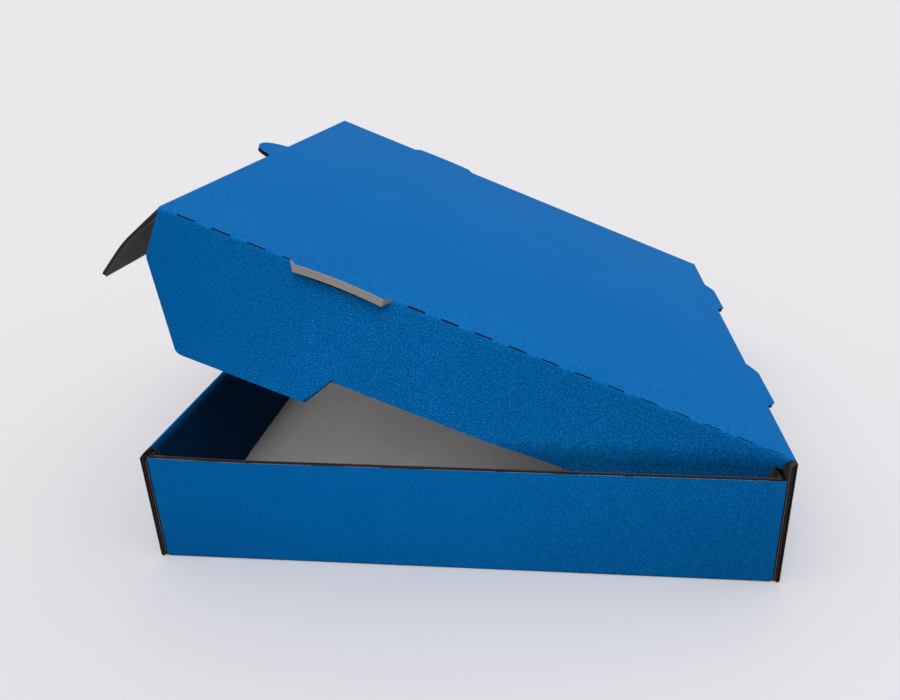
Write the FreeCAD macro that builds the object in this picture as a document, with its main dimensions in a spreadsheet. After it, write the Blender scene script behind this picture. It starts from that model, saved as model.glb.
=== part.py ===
"""Pizza box folded from one die-cut sheet of single-wall corrugated board.

The tray has a roll-over front wall of three layers, single side walls whose corner flaps
tuck into the front wall and behind the back wall, and a taller back wall that carries
the lid. The lid is a panel with stepped side flaps on perforated folds, and its front
flap hangs on a fold of its own.

Lengths are in millimetres and angles in degrees. The origin is the middle of the tray's
underside, +Z points up, the front wall stands at -X and the lid's hinge runs along +X.
"""
import FreeCAD, Part
import math
import os
import Sketcher

# Driving sizes: name, value, what it measures
SIZES = [
    ("box_length", 310, "front wall's outer face to back wall's outer face"),
    ("box_width", 310, "side wall to side wall, outside"),
    ("board", 2.8, "thickness of the corrugated board"),
    ("layer_gap", 0.3, "clearance between two layers that lie against each other"),
    ("side_height", 58.5, "side walls, from the underside"),
    ("front_height", 59.5, "roll-over front wall, from the underside"),
    ("back_height", 66.5, "back wall up to the lid's hinge line"),
    ("fold_round", 1.2, "outer radius of a creased fold"),
    ("corner_flap_length", 62, "corner flaps, from the side wall's outer face"),
    ("corner_flap_taper", 12, "cut-off corner of a rear corner flap"),
    ("rollover_inset", 9, "side wall's outer face to the end of the rolled-over panel"),
    ("rollover_lead", 1.5, "the same at the outer edge, where the rolled strip starts"),
    ("rollover_taper", 2.5, "depth over which the rolled strip narrows"),
    ("lock_tab_width", 38, "locking tabs of the rolled-over panel"),
    ("lock_tab_spacing", 150, "middle to middle of the two locking tabs"),
    ("lid_open", 22.4, "angle of the lid above its shut position"),
    ("side_flap_depth", 49.2, "lid's side flaps beside the hinge, from the lid's top"),
    ("heel_length", 6.6, "hinge line to the rear edge of a side flap inside the tray"),
    ("toe_setback", 0.3, "lid's front fold to the front edge of a side flap"),
    ("toe_drop", 24, "upright part of a side flap's front edge"),
    ("toe_slant", 22.5, "how far the front edge runs back below it"),
    ("deep_length", 61.5, "bottom edge of the deep part of a side flap"),
    ("step_run", 8.5, "length of the slope from the deep part to the shallow part"),
    ("flap_round", 5, "corners of a side flap"),
    ("perforation_pitch", 15.8, "from one cut of a perforated fold to the next"),
    ("perforation_cut", 8.2, "length of one cut"),
    ("perforation_width", 0.5, "width of one cut"),
    ("rear_cut_start", 5.2, "hinge line to the first cut"),
    ("front_cut_start", 8.3, "lid's front fold to the first cut"),
    ("vent_from_front", 59.5, "lid's front fold to the vent in each side fold"),
    ("vent_length", 47.3, "vent and its tab, along the fold"),
    ("vent_slant", 3.3, "how far each end of the vent slants in"),
    ("vent_depth", 5.0, "vent and its tab, across the fold"),
    ("vent_lift", 8, "angle by which a vent tab stands above the lid"),
    ("rear_tab_spacing", 144.6, "middle to middle of the two tabs behind the hinge"),
    ("rear_tab_base", 52.5, "length of a rear tab at the hinge line"),
    ("rear_tab_tip", 38.5, "length of a rear tab at its outer edge"),
    ("rear_tab_depth", 5.7, "how far a rear tab reaches past the hinge line"),
    ("thumb_tab_base", 32, "thumb tab at the lid's front fold"),
    ("thumb_tab_tip", 18, "thumb tab at its outer edge"),
    ("thumb_tab_depth", 11.5, "how far the thumb tab reaches past the front fold"),
    ("thumb_tab_round", 7, "corners of the thumb tab"),
    ("front_fold", 60.4, "angle of the front flap below the lid's plane"),
    ("front_fold_limit", 100, "largest angle to which the front fold can close"),
    ("front_flap_length", 48, "front flap, from its fold to its free edge"),
    ("front_bend_at", 27, "front fold to the soft bend across the front flap"),
    ("front_bend", 10.5, "angle of that bend"),
    ("front_bend_round", 60, "outer radius of that bend"),
    ("front_flap_round", 4, "free corners of the front flap"),
]

# Sizes that follow from the driving ones
HALF_LENGTH = "(Sizes.box_length / 2)"
HALF_WIDTH = "(Sizes.box_width / 2)"
LAYER = "(Sizes.board + Sizes.layer_gap)"
FRONT_STACK = "(3 * Sizes.board + 2 * Sizes.layer_gap)"
LID_LENGTH = f"(Sizes.box_length - {FRONT_STACK} - Sizes.layer_gap)"
LID_HALF = f"({HALF_WIDTH} - {LAYER})"
FRONT_FLAP_HALF = f"({LID_HALF} - {LAYER})"
FRONT_MITRE = "(Sizes.board * tan(Sizes.front_fold_limit / 2 * 1 deg))"
OVERCUT = 0.2
ROOT = 1.0
VENT_ROOT = 0.1

PLANE_NORMAL_TO = {"x": "YZ_Plane", "y": "XZ_Plane", "z": "XY_Plane"}


def origin_feature(body, role):
    """The body's own origin plane or axis with that role."""
    return next(item for item in body.Origin.OriginFeatures if item.Role == role)


def outlines(body, name, normal, loops, offset="0"):
    """A sketch of closed straight-sided loops, square to an axis and offset along it.

    Each corner is a pair of expressions, so the outline follows the sheet. On the plane
    normal to y the offset counts towards -Y, as that plane's own normal does.
    """
    sketch = body.newObject("Sketcher::SketchObject", name)
    plane = origin_feature(body, PLANE_NORMAL_TO[normal])
    sketch.AttachmentSupport = [(plane, "")]
    sketch.MapMode = "FlatFace"
    sketch.setExpression("AttachmentOffset.Base.z", offset)
    first = 0
    for corners in loops:
        count = len(corners)
        turn = 2 * math.pi / count
        start = [FreeCAD.Vector(math.cos(turn * i), math.sin(turn * i), 0) for i in range(count)]
        for i in range(count):
            sketch.addGeometry(Part.LineSegment(start[i], start[(i + 1) % count]), False)
        for i, (across, along) in enumerate(corners):
            line = first + i
            following = first + (i + 1) % count
            sketch.addConstraint(Sketcher.Constraint("Coincident", line, 2, following, 1))
            for kind, value, expression in (
                ("DistanceX", start[i].x, across),
                ("DistanceY", start[i].y, along),
            ):
                index = sketch.addConstraint(Sketcher.Constraint(kind, -1, 1, line, 1, value))
                sketch.setExpression(f"Constraints[{index}]", expression)
        first += count
    return sketch


def rectangle(low_x, high_x, low_y, high_y):
    """Corners of an upright rectangle, from expressions."""
    return [(low_x, low_y), (high_x, low_y), (high_x, high_y), (low_x, high_y)]


def pad(body, name, sketch, length, reverse=False, symmetric=False):
    """Material along the sketch's normal, or against it, or to both sides of it."""
    feature = body.newObject("PartDesign::Pad", name)
    feature.Profile = sketch
    feature.setExpression("Length", length)
    feature.Reversed = reverse
    feature.SideType = "Symmetric" if symmetric else "One side"
    return feature


def cut(body, name, sketch, length, reverse=False, symmetric=False):
    """A cut against the sketch's normal, or along it, or to both sides of it."""
    feature = body.newObject("PartDesign::Pocket", name)
    feature.Profile = sketch
    feature.setExpression("Length", length)
    feature.Reversed = reverse
    feature.SideType = "Symmetric" if symmetric else "One side"
    return feature


def mirror_sides(body, name, features):
    """The same features again on the other side of the box's middle plane."""
    feature = body.newObject("PartDesign::Mirrored", name)
    feature.Originals = features
    feature.MirrorPlane = (origin_feature(body, "XZ_Plane"), [""])
    body.Tip = feature
    return feature


def repeat_along(body, name, feature, pitch, count, backwards):
    """The same cut again and again along X."""
    pattern = body.newObject("PartDesign::LinearPattern", name)
    pattern.Originals = [feature]
    pattern.Direction = (origin_feature(body, "X_Axis"), [""])
    pattern.Reversed = backwards
    pattern.Mode = "Spacing"
    pattern.setExpression("Offset", pitch)
    pattern.setExpression("Occurrences", count)
    body.Tip = pattern
    return pattern


def round_edges(body, name, radius, wanted):
    """A fillet on the edges of the body that the test picks out.

    The test is given an edge's direction letter (None for a slanted edge) and the middle
    of its two ends, in the body's own frame.
    """
    document = body.Document
    document.recompute()
    base = body.Tip
    names = []
    for index, edge in enumerate(base.Shape.Edges, start=1):
        if len(edge.Vertexes) != 2:
            continue
        low, high = (vertex.Point for vertex in edge.Vertexes)
        run = high - low
        straight = abs(edge.Length - run.Length) < 1e-6
        axes = [
            letter
            for letter, part in zip("xyz", run)
            if straight and abs(abs(part) - run.Length) < 1e-6
        ]
        if wanted(axes[0] if axes else None, (low + high) * 0.5):
            names.append(f"Edge{index}")
    feature = body.newObject("PartDesign::Fillet", name)
    feature.Base = (base, names)
    feature.setExpression("Radius", radius)
    return feature


def near(value, target):
    """Whether two positions are the same place, within a hundredth of a millimetre."""
    return abs(value - target) < 0.01


def new_body(document, label):
    """An empty sub-part; its label names its file."""
    body = document.addObject("PartDesign::Body", label)
    body.Label = label
    return body


def turn_about_y(body, base_x, base_z, angle):
    """Places a body with its own origin on a fold line and turns it about that line."""
    body.Placement = FreeCAD.Placement(
        FreeCAD.Vector(0, 0, 0), FreeCAD.Rotation(FreeCAD.Vector(0, 1, 0), 1)
    )
    body.setExpression("Placement.Base.x", base_x)
    body.setExpression("Placement.Base.z", base_z)
    body.setExpression("Placement.Rotation.Angle", angle)


# Tray

def add_tray_walls(body):
    """Floor, outer front panel, and back wall with its notches and mitred top."""
    floor = outlines(body, "FloorOutline", "z", [
        rectangle(f"-{HALF_LENGTH}", HALF_LENGTH, f"-{HALF_WIDTH}", HALF_WIDTH)])
    pad(body, "Floor", floor, "Sizes.board")

    front = outlines(body, "FrontOutline", "z", [
        rectangle(f"-{HALF_LENGTH}", f"-{HALF_LENGTH} + Sizes.board",
                  f"-{HALF_WIDTH}", HALF_WIDTH)])
    pad(body, "OuterFrontPanel", front, "Sizes.front_height")

    # A rear tab turns about the hinge line, so its notch is as deep as the tab's corner swings
    swing = "(sqrt(Sizes.rear_tab_depth ^ 2 + Sizes.board ^ 2) + Sizes.layer_gap)"
    base = "(Sizes.rear_tab_base / 2 + Sizes.layer_gap)"
    tip = "(Sizes.rear_tab_tip / 2 + Sizes.layer_gap)"
    top = "Sizes.back_height"
    corners = [(f"-{HALF_WIDTH}", "0"), (HALF_WIDTH, "0"), (HALF_WIDTH, top)]
    for middle in ("Sizes.rear_tab_spacing / 2", "-Sizes.rear_tab_spacing / 2"):
        corners += [
            (f"{middle} + {base}", top),
            (f"{middle} + {base}", f"{top} - Sizes.board"),
            (f"{middle} + {tip}", f"{top} - {swing}"),
            (f"{middle} - {tip}", f"{top} - {swing}"),
            (f"{middle} - {base}", f"{top} - Sizes.board"),
            (f"{middle} - {base}", top),
        ]
    corners.append((f"-{HALF_WIDTH}", top))
    back = outlines(body, "BackOutline", "x", [corners], f"{HALF_LENGTH} - Sizes.board")
    pad(body, "BackWall", back, "Sizes.board")

    mitre = outlines(body, "BackMitreOutline", "y", [[
        (f"{HALF_LENGTH} + {OVERCUT}", f"{top} + {OVERCUT}"),
        (f"{HALF_LENGTH} - Sizes.board - {OVERCUT}", f"{top} - Sizes.board - {OVERCUT}"),
        (f"{HALF_LENGTH} - Sizes.board - {OVERCUT}", f"{top} + {OVERCUT}")]])
    cut(body, "BackMitre", mitre, "Sizes.box_width + 2", symmetric=True)


def add_tray_sides(body):
    """One side wall with its two corner flaps, then the same on the other side."""
    wall = outlines(body, "SideWallOutline", "z", [
        rectangle(f"-{HALF_LENGTH} + {LAYER}", f"{HALF_LENGTH} - {LAYER}",
                  f"-{HALF_WIDTH}", f"-{HALF_WIDTH} + Sizes.board")])
    side_wall = pad(body, "SideWall", wall, "Sizes.side_height")

    end = f"-{HALF_WIDTH} + Sizes.corner_flap_length"
    rear = outlines(body, "RearCornerFlapOutline", "x", [[
        (f"-{HALF_WIDTH}", LAYER),
        (end, LAYER),
        (end, "Sizes.side_height - Sizes.corner_flap_taper"),
        (f"{end} - Sizes.corner_flap_taper", "Sizes.side_height"),
        (f"-{HALF_WIDTH}", "Sizes.side_height")]],
        f"{HALF_LENGTH} - {LAYER} - Sizes.board")
    rear_flap = pad(body, "RearCornerFlap", rear, "Sizes.board")

    front = outlines(body, "FrontCornerFlapOutline", "x", [
        rectangle(f"-{HALF_WIDTH}", end, LAYER, f"Sizes.front_height - {LAYER}")],
        f"-{HALF_LENGTH} + {LAYER}")
    front_flap = pad(body, "FrontCornerFlap", front, "Sizes.board")
    mirror_sides(body, "OtherSide", [side_wall, rear_flap, front_flap])


def add_rolled_front(body):
    """Rolled-over strip and inner front panel, locked by tabs in the floor's slots."""
    inner_low = f"-{HALF_LENGTH} + 2 * {LAYER}"
    inner_high = f"-{HALF_LENGTH} + {FRONT_STACK}"
    tab_half = "Sizes.lock_tab_width / 2"
    middles = ("Sizes.lock_tab_spacing / 2", "-Sizes.lock_tab_spacing / 2")

    slots = outlines(body, "LockSlotOutline", "z", [
        rectangle(f"{inner_low} - Sizes.layer_gap", f"{inner_high} + Sizes.layer_gap",
                  f"{middle} - {tab_half} - Sizes.layer_gap",
                  f"{middle} + {tab_half} + Sizes.layer_gap")
        for middle in middles])
    cut(body, "LockSlots", slots, "Sizes.board", reverse=True)

    lead = f"({HALF_WIDTH} - Sizes.rollover_lead)"
    inset = f"({HALF_WIDTH} - Sizes.rollover_inset)"
    taper = f"-{HALF_LENGTH} + Sizes.rollover_taper"
    strip = outlines(body, "RolledStripOutline", "z", [[
        (f"-{HALF_LENGTH}", f"-{lead}"), (taper, f"-{inset}"), (inner_high, f"-{inset}"),
        (inner_high, inset), (taper, inset), (f"-{HALF_LENGTH}", lead)]],
        "Sizes.front_height - Sizes.board")
    pad(body, "RolledStrip", strip, "Sizes.board")

    panel = outlines(body, "InnerPanelOutline", "z", [
        rectangle(inner_low, inner_high, f"-{inset}", inset)], LAYER)
    pad(body, "InnerFrontPanel", panel, f"Sizes.front_height - {LAYER}")

    tabs = outlines(body, "LockTabOutline", "z", [
        rectangle(inner_low, inner_high, f"{middle} - {tab_half}", f"{middle} + {tab_half}")
        for middle in middles])
    pad(body, "LockTabs", tabs, f"{LAYER} + {ROOT}")


def build_tray(document, size):
    """Floor and standing walls, with every layer that is folded into them."""
    body = new_body(document, "tray")
    add_tray_walls(body)
    add_tray_sides(body)
    add_rolled_front(body)

    half_length = size["box_length"] / 2
    half_width = size["box_width"] / 2
    corner = half_length - size["board"] - size["layer_gap"]
    stack = half_length - 3 * size["board"] - 2 * size["layer_gap"]

    def fold(direction, middle):
        if direction == "y" and near(middle.z, 0):
            return near(abs(middle.x), half_length)
        if direction == "y" and near(middle.z, size["front_height"]):
            return near(middle.x, -half_length) or near(middle.x, -stack)
        if direction == "x":
            return near(abs(middle.y), half_width) and near(middle.z, 0)
        return direction == "z" and near(abs(middle.x), corner) and near(abs(middle.y), half_width)

    round_edges(body, "Folds", "Sizes.fold_round", fold)
    return body


# Lid, drawn shut and flat behind its hinge line, then turned open

def add_lid_flaps(body):
    """Stepped side flap on one long edge of the panel, then the same on the other."""
    toe = f"({LID_LENGTH} - Sizes.toe_setback)"
    deep = f"(Sizes.back_height - {LAYER})"
    ledge = "(Sizes.back_height - Sizes.side_height - Sizes.layer_gap)"
    deep_front = f"({toe} - Sizes.toe_slant)"
    deep_rear = f"({deep_front} - Sizes.deep_length)"
    step = f"({deep_rear} - Sizes.step_run)"
    outline = outlines(body, "SideFlapOutline", "y", [[
        (f"-{LAYER}", "0"),
        (f"-{LAYER}", f"-{ledge}"),
        ("-Sizes.heel_length", f"-{ledge}"),
        ("-Sizes.heel_length", "-Sizes.side_flap_depth"),
        (f"-{step}", "-Sizes.side_flap_depth"),
        (f"-{deep_rear}", f"-{deep}"),
        (f"-{deep_front}", f"-{deep}"),
        (f"-{toe}", "-Sizes.toe_drop"),
        (f"-{toe}", "0")]], LID_HALF)
    flap = pad(body, "SideFlap", outline, "Sizes.board", reverse=True)
    mirror_sides(body, "OtherSideFlap", [flap])


def add_lid_mitres(body):
    """Slanted edges at the hinge and at the front fold, where two boards meet."""
    hinge = outlines(body, "HingeMitreOutline", "y", [[
        (f"{OVERCUT}", f"{OVERCUT}"),
        (f"-Sizes.board - {OVERCUT}", f"-Sizes.board - {OVERCUT}"),
        (f"{OVERCUT}", f"-Sizes.board - {OVERCUT}")]])
    cut(body, "HingeMitre", hinge, "Sizes.box_width", symmetric=True)

    slope = f"({FRONT_MITRE} / Sizes.board)"
    front = outlines(body, "FrontMitreOutline", "y", [[
        (f"-{LID_LENGTH} - {slope} * {OVERCUT}", f"{OVERCUT}"),
        (f"-{LID_LENGTH} + {FRONT_MITRE} + {slope} * {OVERCUT}", f"-Sizes.board - {OVERCUT}"),
        (f"-{LID_LENGTH} - {slope} * {OVERCUT}", f"-Sizes.board - {OVERCUT}")]])
    cut(body, "FrontMitre", front, f"2 * {FRONT_FLAP_HALF} + 2 * Sizes.layer_gap", symmetric=True)


def add_lid_tabs(body):
    """Rear tabs past the hinge and the thumb tab past the front fold."""
    root = f"(Sizes.board + {ROOT})"
    middle = "-Sizes.rear_tab_spacing / 2"
    base = "Sizes.rear_tab_base / 2"
    tip = "Sizes.rear_tab_tip / 2"
    rear = outlines(body, "RearTabOutline", "z", [[
        (f"-{root}", f"{middle} - {base}"), ("0", f"{middle} - {base}"),
        ("Sizes.rear_tab_depth", f"{middle} - {tip}"),
        ("Sizes.rear_tab_depth", f"{middle} + {tip}"),
        ("0", f"{middle} + {base}"), (f"-{root}", f"{middle} + {base}")]])
    rear_tab = pad(body, "RearTab", rear, "Sizes.board", reverse=True)
    mirror_sides(body, "OtherRearTab", [rear_tab])

    base = "Sizes.thumb_tab_base / 2"
    tip = "Sizes.thumb_tab_tip / 2"
    fold = f"-{LID_LENGTH}"
    edge = f"-{LID_LENGTH} - Sizes.thumb_tab_depth"
    inside = f"-{LID_LENGTH} + {FRONT_MITRE} + {ROOT}"
    thumb = outlines(body, "ThumbTabOutline", "z", [[
        (inside, f"-{base}"), (fold, f"-{base}"), (edge, f"-{tip}"),
        (edge, tip), (fold, base), (inside, base)]])
    pad(body, "ThumbTab", thumb, "Sizes.board", reverse=True)


def add_vents(body):
    """A slot under each side fold, and the tab cut from it, which stays with the panel."""
    front = f"({LID_LENGTH} - Sizes.vent_from_front)"
    rear = f"({front} - Sizes.vent_length)"
    slot = outlines(body, "VentOutline", "y", [[
        (f"-{front}", "-Sizes.board"),
        (f"-{front} + Sizes.vent_slant", "-Sizes.vent_depth"),
        (f"-{rear} - Sizes.vent_slant", "-Sizes.vent_depth"),
        (f"-{rear}", "-Sizes.board")]])
    cut(body, "VentSlots", slot, "Sizes.box_width", symmetric=True)

    # The tab bends up about a line just inside the rounded fold
    crease = "(Sizes.fold_round + Sizes.layer_gap)"
    tab = outlines(body, "VentTabOutline", "z", [[
        (f"-{front}", f"{VENT_ROOT}"), (f"-{front}", f"-{crease}"),
        (f"-{front} + Sizes.vent_slant", f"-{crease} - Sizes.vent_depth"),
        (f"-{rear} - Sizes.vent_slant", f"-{crease} - Sizes.vent_depth"),
        (f"-{rear}", f"-{crease}"), (f"-{rear}", f"{VENT_ROOT}")]])
    tab.AttachmentOffset = FreeCAD.Placement(
        FreeCAD.Vector(0, 0, 0), FreeCAD.Rotation(FreeCAD.Vector(1, 0, 0), -1)
    )
    tab.setExpression("AttachmentOffset.Base.y", f"-{LID_HALF} + {crease}")
    tab.setExpression("AttachmentOffset.Rotation.Angle", "-Sizes.vent_lift")
    vent_tab = pad(body, "VentTab", tab, "Sizes.board", reverse=True)
    mirror_sides(body, "OtherVentTab", [vent_tab])


def slit_profile(side):
    """A thin slanted slot through the corner of one side fold; side is -1 or 1."""
    half = "Sizes.perforation_width / 2 / sqrt(2)"
    inner = f"Sizes.board + {ROOT}"
    corners = [
        (f"-{ROOT} + {half}", f"{ROOT} + {half}"),
        (f"-{ROOT} - {half}", f"{ROOT} - {half}"),
        (f"{inner} - {half}", f"-({inner}) - {half}"),
        (f"{inner} + {half}", f"-({inner}) + {half}"),
    ]
    return [(f"{side} * ({LID_HALF} - ({across}))", along) for across, along in corners]


def add_perforations(body):
    """Rows of cuts along both side folds, in front of the vents and behind them."""
    both_folds = [slit_profile(-1), slit_profile(1)]
    bridge = "(Sizes.perforation_pitch - Sizes.perforation_cut)"
    rear_span = (f"({LID_LENGTH} - Sizes.vent_from_front - Sizes.vent_length"
                 " - Sizes.rear_cut_start)")
    front_span = "(Sizes.vent_from_front - Sizes.front_cut_start)"
    rear_count = f"floor(({rear_span} + {bridge}) / Sizes.perforation_pitch)"
    front_count = f"floor(({front_span} + {bridge}) / Sizes.perforation_pitch)"

    rear = outlines(body, "RearSlitOutline", "x", both_folds, "-Sizes.rear_cut_start")
    rear_cut = cut(body, "RearSlit", rear, "Sizes.perforation_cut")
    repeat_along(body, "RearSlits", rear_cut, "Sizes.perforation_pitch", rear_count, True)

    start = f"-{LID_LENGTH} + Sizes.front_cut_start"
    front = outlines(body, "FrontSlitOutline", "x", both_folds, start)
    front_cut = cut(body, "FrontSlit", front, "Sizes.perforation_cut", reverse=True)
    repeat_along(body, "FrontSlits", front_cut, "Sizes.perforation_pitch", front_count, False)

    # A last short cut leads into the vent
    done = f"{front_count} * Sizes.perforation_pitch"
    lead = outlines(body, "LeadSlitOutline", "x", both_folds, f"{start} + {done}")
    cut(body, "LeadSlit", lead, f"{front_span} - {done} + {ROOT}", reverse=True)


def build_lid(document, size):
    """Panel with its side flaps, tabs, vents and perforated folds."""
    body = new_body(document, "lid")
    panel = outlines(body, "PanelOutline", "z", [
        rectangle(f"-{LID_LENGTH}", "0", f"-{LID_HALF}", LID_HALF)])
    pad(body, "Panel", panel, "Sizes.board", reverse=True)
    add_lid_flaps(body)

    layer = size["board"] + size["layer_gap"]
    half = size["box_width"] / 2 - layer
    length = size["box_length"] - 3 * layer
    round_edges(body, "SideFolds", "Sizes.fold_round", lambda direction, middle: (
        direction == "x" and near(abs(middle.y), half) and near(middle.z, 0)))

    toe = length - size["toe_setback"]
    deep_front = toe - size["toe_slant"]
    deep_rear = deep_front - size["deep_length"]
    deep = size["back_height"] - layer
    round_corners = [
        (-toe, -size["toe_drop"]), (-deep_front, -deep), (-deep_rear, -deep),
        (-deep_rear + size["step_run"], -size["side_flap_depth"]),
    ]
    round_edges(body, "FlapCorners", "Sizes.flap_round", lambda direction, middle: (
        direction == "y"
        and any(near(middle.x, x) and near(middle.z, z) for x, z in round_corners)))

    add_lid_mitres(body)
    add_lid_tabs(body)
    edge = length + size["thumb_tab_depth"]
    round_edges(body, "ThumbTabCorners", "Sizes.thumb_tab_round", lambda direction, middle: (
        direction == "z" and near(middle.x, -edge)))
    add_perforations(body)
    add_vents(body)
    turn_about_y(body, HALF_LENGTH, "Sizes.back_height", "Sizes.lid_open")
    return body


# Front flap, drawn flat in front of its fold, then hung on the open lid

def build_front_flap(document, size):
    """Flap on the lid's front fold, notched round the thumb tab, with a soft bend."""
    body = new_body(document, "front_flap")
    beyond = "(Sizes.front_flap_length - Sizes.front_bend_at)"
    bend = "Sizes.front_bend * 1 deg"
    profile = outlines(body, "FlapProfile", "y", [[
        ("0", "0"),
        (f"-{FRONT_MITRE}", "-Sizes.board"),
        (f"-Sizes.front_bend_at + Sizes.board * tan({bend} / 2)", "-Sizes.board"),
        (f"-Sizes.front_bend_at - {beyond} * cos({bend}) + Sizes.board * sin({bend})",
         f"-{beyond} * sin({bend}) - Sizes.board * cos({bend})"),
        (f"-Sizes.front_bend_at - {beyond} * cos({bend})", f"-{beyond} * sin({bend})"),
        ("-Sizes.front_bend_at", "0")]])
    pad(body, "Flap", profile, f"2 * {FRONT_FLAP_HALF}", symmetric=True)

    at = size["front_bend_at"]
    angle = math.radians(size["front_bend"])
    inner = at - size["board"] * math.tan(angle / 2)
    tip = at + (size["front_flap_length"] - at) * math.cos(angle)
    round_edges(body, "BendOutside", "Sizes.front_bend_round", lambda direction, middle: (
        direction == "y" and near(middle.x, -at) and near(middle.z, 0)))
    round_edges(body, "BendInside", "Sizes.front_bend_round - Sizes.board",
                lambda direction, middle: (
                    direction == "y" and near(middle.x, -inner)
                    and near(middle.z, -size["board"])))
    reach = size["board"] * math.sin(angle)
    round_edges(body, "FreeCorners", "Sizes.front_flap_round", lambda direction, middle: (
        direction is None and near(middle.x, -tip + reach / 2)))

    # The thumb tab stays with the lid, and the notch lets its corner swing through
    notch = "(sqrt(Sizes.thumb_tab_depth ^ 2 + Sizes.board ^ 2) + Sizes.layer_gap)"
    side = "(Sizes.thumb_tab_base / 2 + Sizes.layer_gap)"
    outline = outlines(body, "NotchOutline", "z", [
        rectangle(f"-{notch}", f"{ROOT}", f"-{side}", side)], f"{ROOT}")
    cut(body, "ThumbNotch", outline, f"Sizes.board + 2 * {ROOT}")

    turn_about_y(
        body,
        f"{HALF_LENGTH} - {LID_LENGTH} * cos(Sizes.lid_open * 1 deg)",
        f"Sizes.back_height + {LID_LENGTH} * sin(Sizes.lid_open * 1 deg)",
        "Sizes.lid_open - Sizes.front_fold",
    )
    return body


def fill_sheet(document):
    """Spreadsheet of the driving sizes; returns them by name as well."""
    sheet = document.addObject("Spreadsheet::Sheet", "Sizes")
    for row, (name, value, meaning) in enumerate(SIZES, start=1):
        sheet.set(f"A{row}", name)
        sheet.set(f"B{row}", str(value))
        sheet.setAlias(f"B{row}", name)
        sheet.set(f"C{row}", meaning)
    document.recompute()
    return {name: float(sheet.get(name)) for name, _, _ in SIZES}


def check(document, bodies):
    """Stops if any object failed, or if a sub-part isn't one valid solid."""
    document.recompute()
    for item in document.Objects:
        if {"Invalid", "Error"} & set(item.State):
            raise RuntimeError(f"{item.Name} failed: {item.State}")
    for body in bodies:
        shape = body.Shape
        if shape.isNull() or not shape.isValid() or len(shape.Solids) != 1:
            raise RuntimeError(f"{body.Label} isn't one valid solid")


def main():
    """Builds the box and writes each sub-part to a file of its own."""
    document = FreeCAD.newDocument("PizzaBox")
    size = fill_sheet(document)
    bodies = [
        build_tray(document, size),
        build_lid(document, size),
        build_front_flap(document, size),
    ]
    check(document, bodies)
    os.makedirs("parts", exist_ok=True)
    for body in bodies:
        body.Shape.exportStep(f"parts/{body.Label}.step")
        print(f"{body.Label}: {body.Shape.Volume / 1000:.1f} cm3")


main()
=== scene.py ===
"""Pizza box of corrugated board, printed blue outside and left as bare board inside.

The box is folded from one die-cut sheet. Each body of it is a set of board shells, and a
shell is a grid over two parameters: an outer surface, an inner surface one board
thickness below it, a mask of the cells that exist, and raw edges between the two
wherever the mask ends. Sizes are in millimetres, and meshes are written in metres.
"""

from __future__ import annotations

import logging
from dataclasses import dataclass, field
from enum import Enum
from functools import reduce
from typing import ClassVar

import bpy
import numpy as np
from mathutils import Matrix, Vector

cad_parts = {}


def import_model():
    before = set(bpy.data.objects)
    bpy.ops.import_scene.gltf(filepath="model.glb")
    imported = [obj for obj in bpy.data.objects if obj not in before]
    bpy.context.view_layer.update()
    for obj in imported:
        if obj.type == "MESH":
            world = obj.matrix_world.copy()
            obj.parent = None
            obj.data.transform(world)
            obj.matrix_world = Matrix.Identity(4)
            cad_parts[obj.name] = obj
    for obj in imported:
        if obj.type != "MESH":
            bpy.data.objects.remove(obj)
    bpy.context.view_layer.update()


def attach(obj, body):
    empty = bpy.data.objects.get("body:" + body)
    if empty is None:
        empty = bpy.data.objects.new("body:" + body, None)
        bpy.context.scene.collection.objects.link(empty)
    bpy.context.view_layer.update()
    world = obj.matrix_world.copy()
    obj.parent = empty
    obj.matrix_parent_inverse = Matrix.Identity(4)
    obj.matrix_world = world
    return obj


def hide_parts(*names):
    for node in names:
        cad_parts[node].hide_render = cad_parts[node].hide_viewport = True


LOG = logging.getLogger("pizza_box")
METRE = 1000.0
SHARP_ANGLE = np.radians(38)


class Surface(Enum):
    """Which of the board's three kinds of surface a face belongs to."""

    PRINT = 0
    LINER = 1
    RAW_EDGE = 2


@dataclass(frozen=True)
class Board:
    """Layers of the single-wall corrugated board.

    In a raw edge, each liner ends over liner_lip of the thickness, and sheet_proud is how
    far the fluted sheet stands up out of the hollow.
    """

    thickness: float = 2.8
    gap: float = 0.3
    liner: float = 0.3
    flute_pitch: float = 6.4
    flute_sheet: float = 0.28
    hollow_depth: float = 0.5
    fold_round: float = 1.2
    edge_levels: int = 14
    edge_drift: float = 0.011
    liner_lip: float = 0.03
    sheet_proud: float = 0.8


@dataclass
class Patch:
    """Points, faces and per-point values of one shell of board.

    layer runs from 0 on the print to 1 on the liner, hollow is how deep a point lies in
    an open raw edge, crease is 1 on a fold, coarse is how strong the print's grain is,
    shade is a factor on the surface's colour that holds painted light and shade, below 1
    where shade is painted and above 1 where light is, and across counts millimetres
    across the flutes on the flat sheet.
    """

    points: np.ndarray
    faces: np.ndarray
    surface: np.ndarray
    layer: np.ndarray
    hollow: np.ndarray
    crease: np.ndarray
    across: np.ndarray
    coarse: np.ndarray
    shade: np.ndarray


def unit(value: np.ndarray) -> np.ndarray:
    """Keeps a share between 0 and 1."""
    return np.clip(value, 0, 1)


def grid_points(x: np.ndarray, y: np.ndarray, z: np.ndarray) -> np.ndarray:
    """Points from three coordinate grids that are spread to one shape."""
    return np.stack(np.broadcast_arrays(x, y, z), axis=-1)


def across_rows(*parts: np.ndarray) -> np.ndarray:
    """Joins grids side by side."""
    return np.concatenate(parts, axis=1)


def middles(lines: np.ndarray) -> np.ndarray:
    """The middle of each cell between grid lines."""
    return (lines[1:] + lines[:-1]) / 2


def within(places: np.ndarray, spans: np.ndarray) -> np.ndarray:
    """Which places lie inside any of the spans, given as rows of low and high ends."""
    return ((places[:, None] > spans[:, 0]) & (places[:, None] < spans[:, 1])).any(axis=1)


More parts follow.
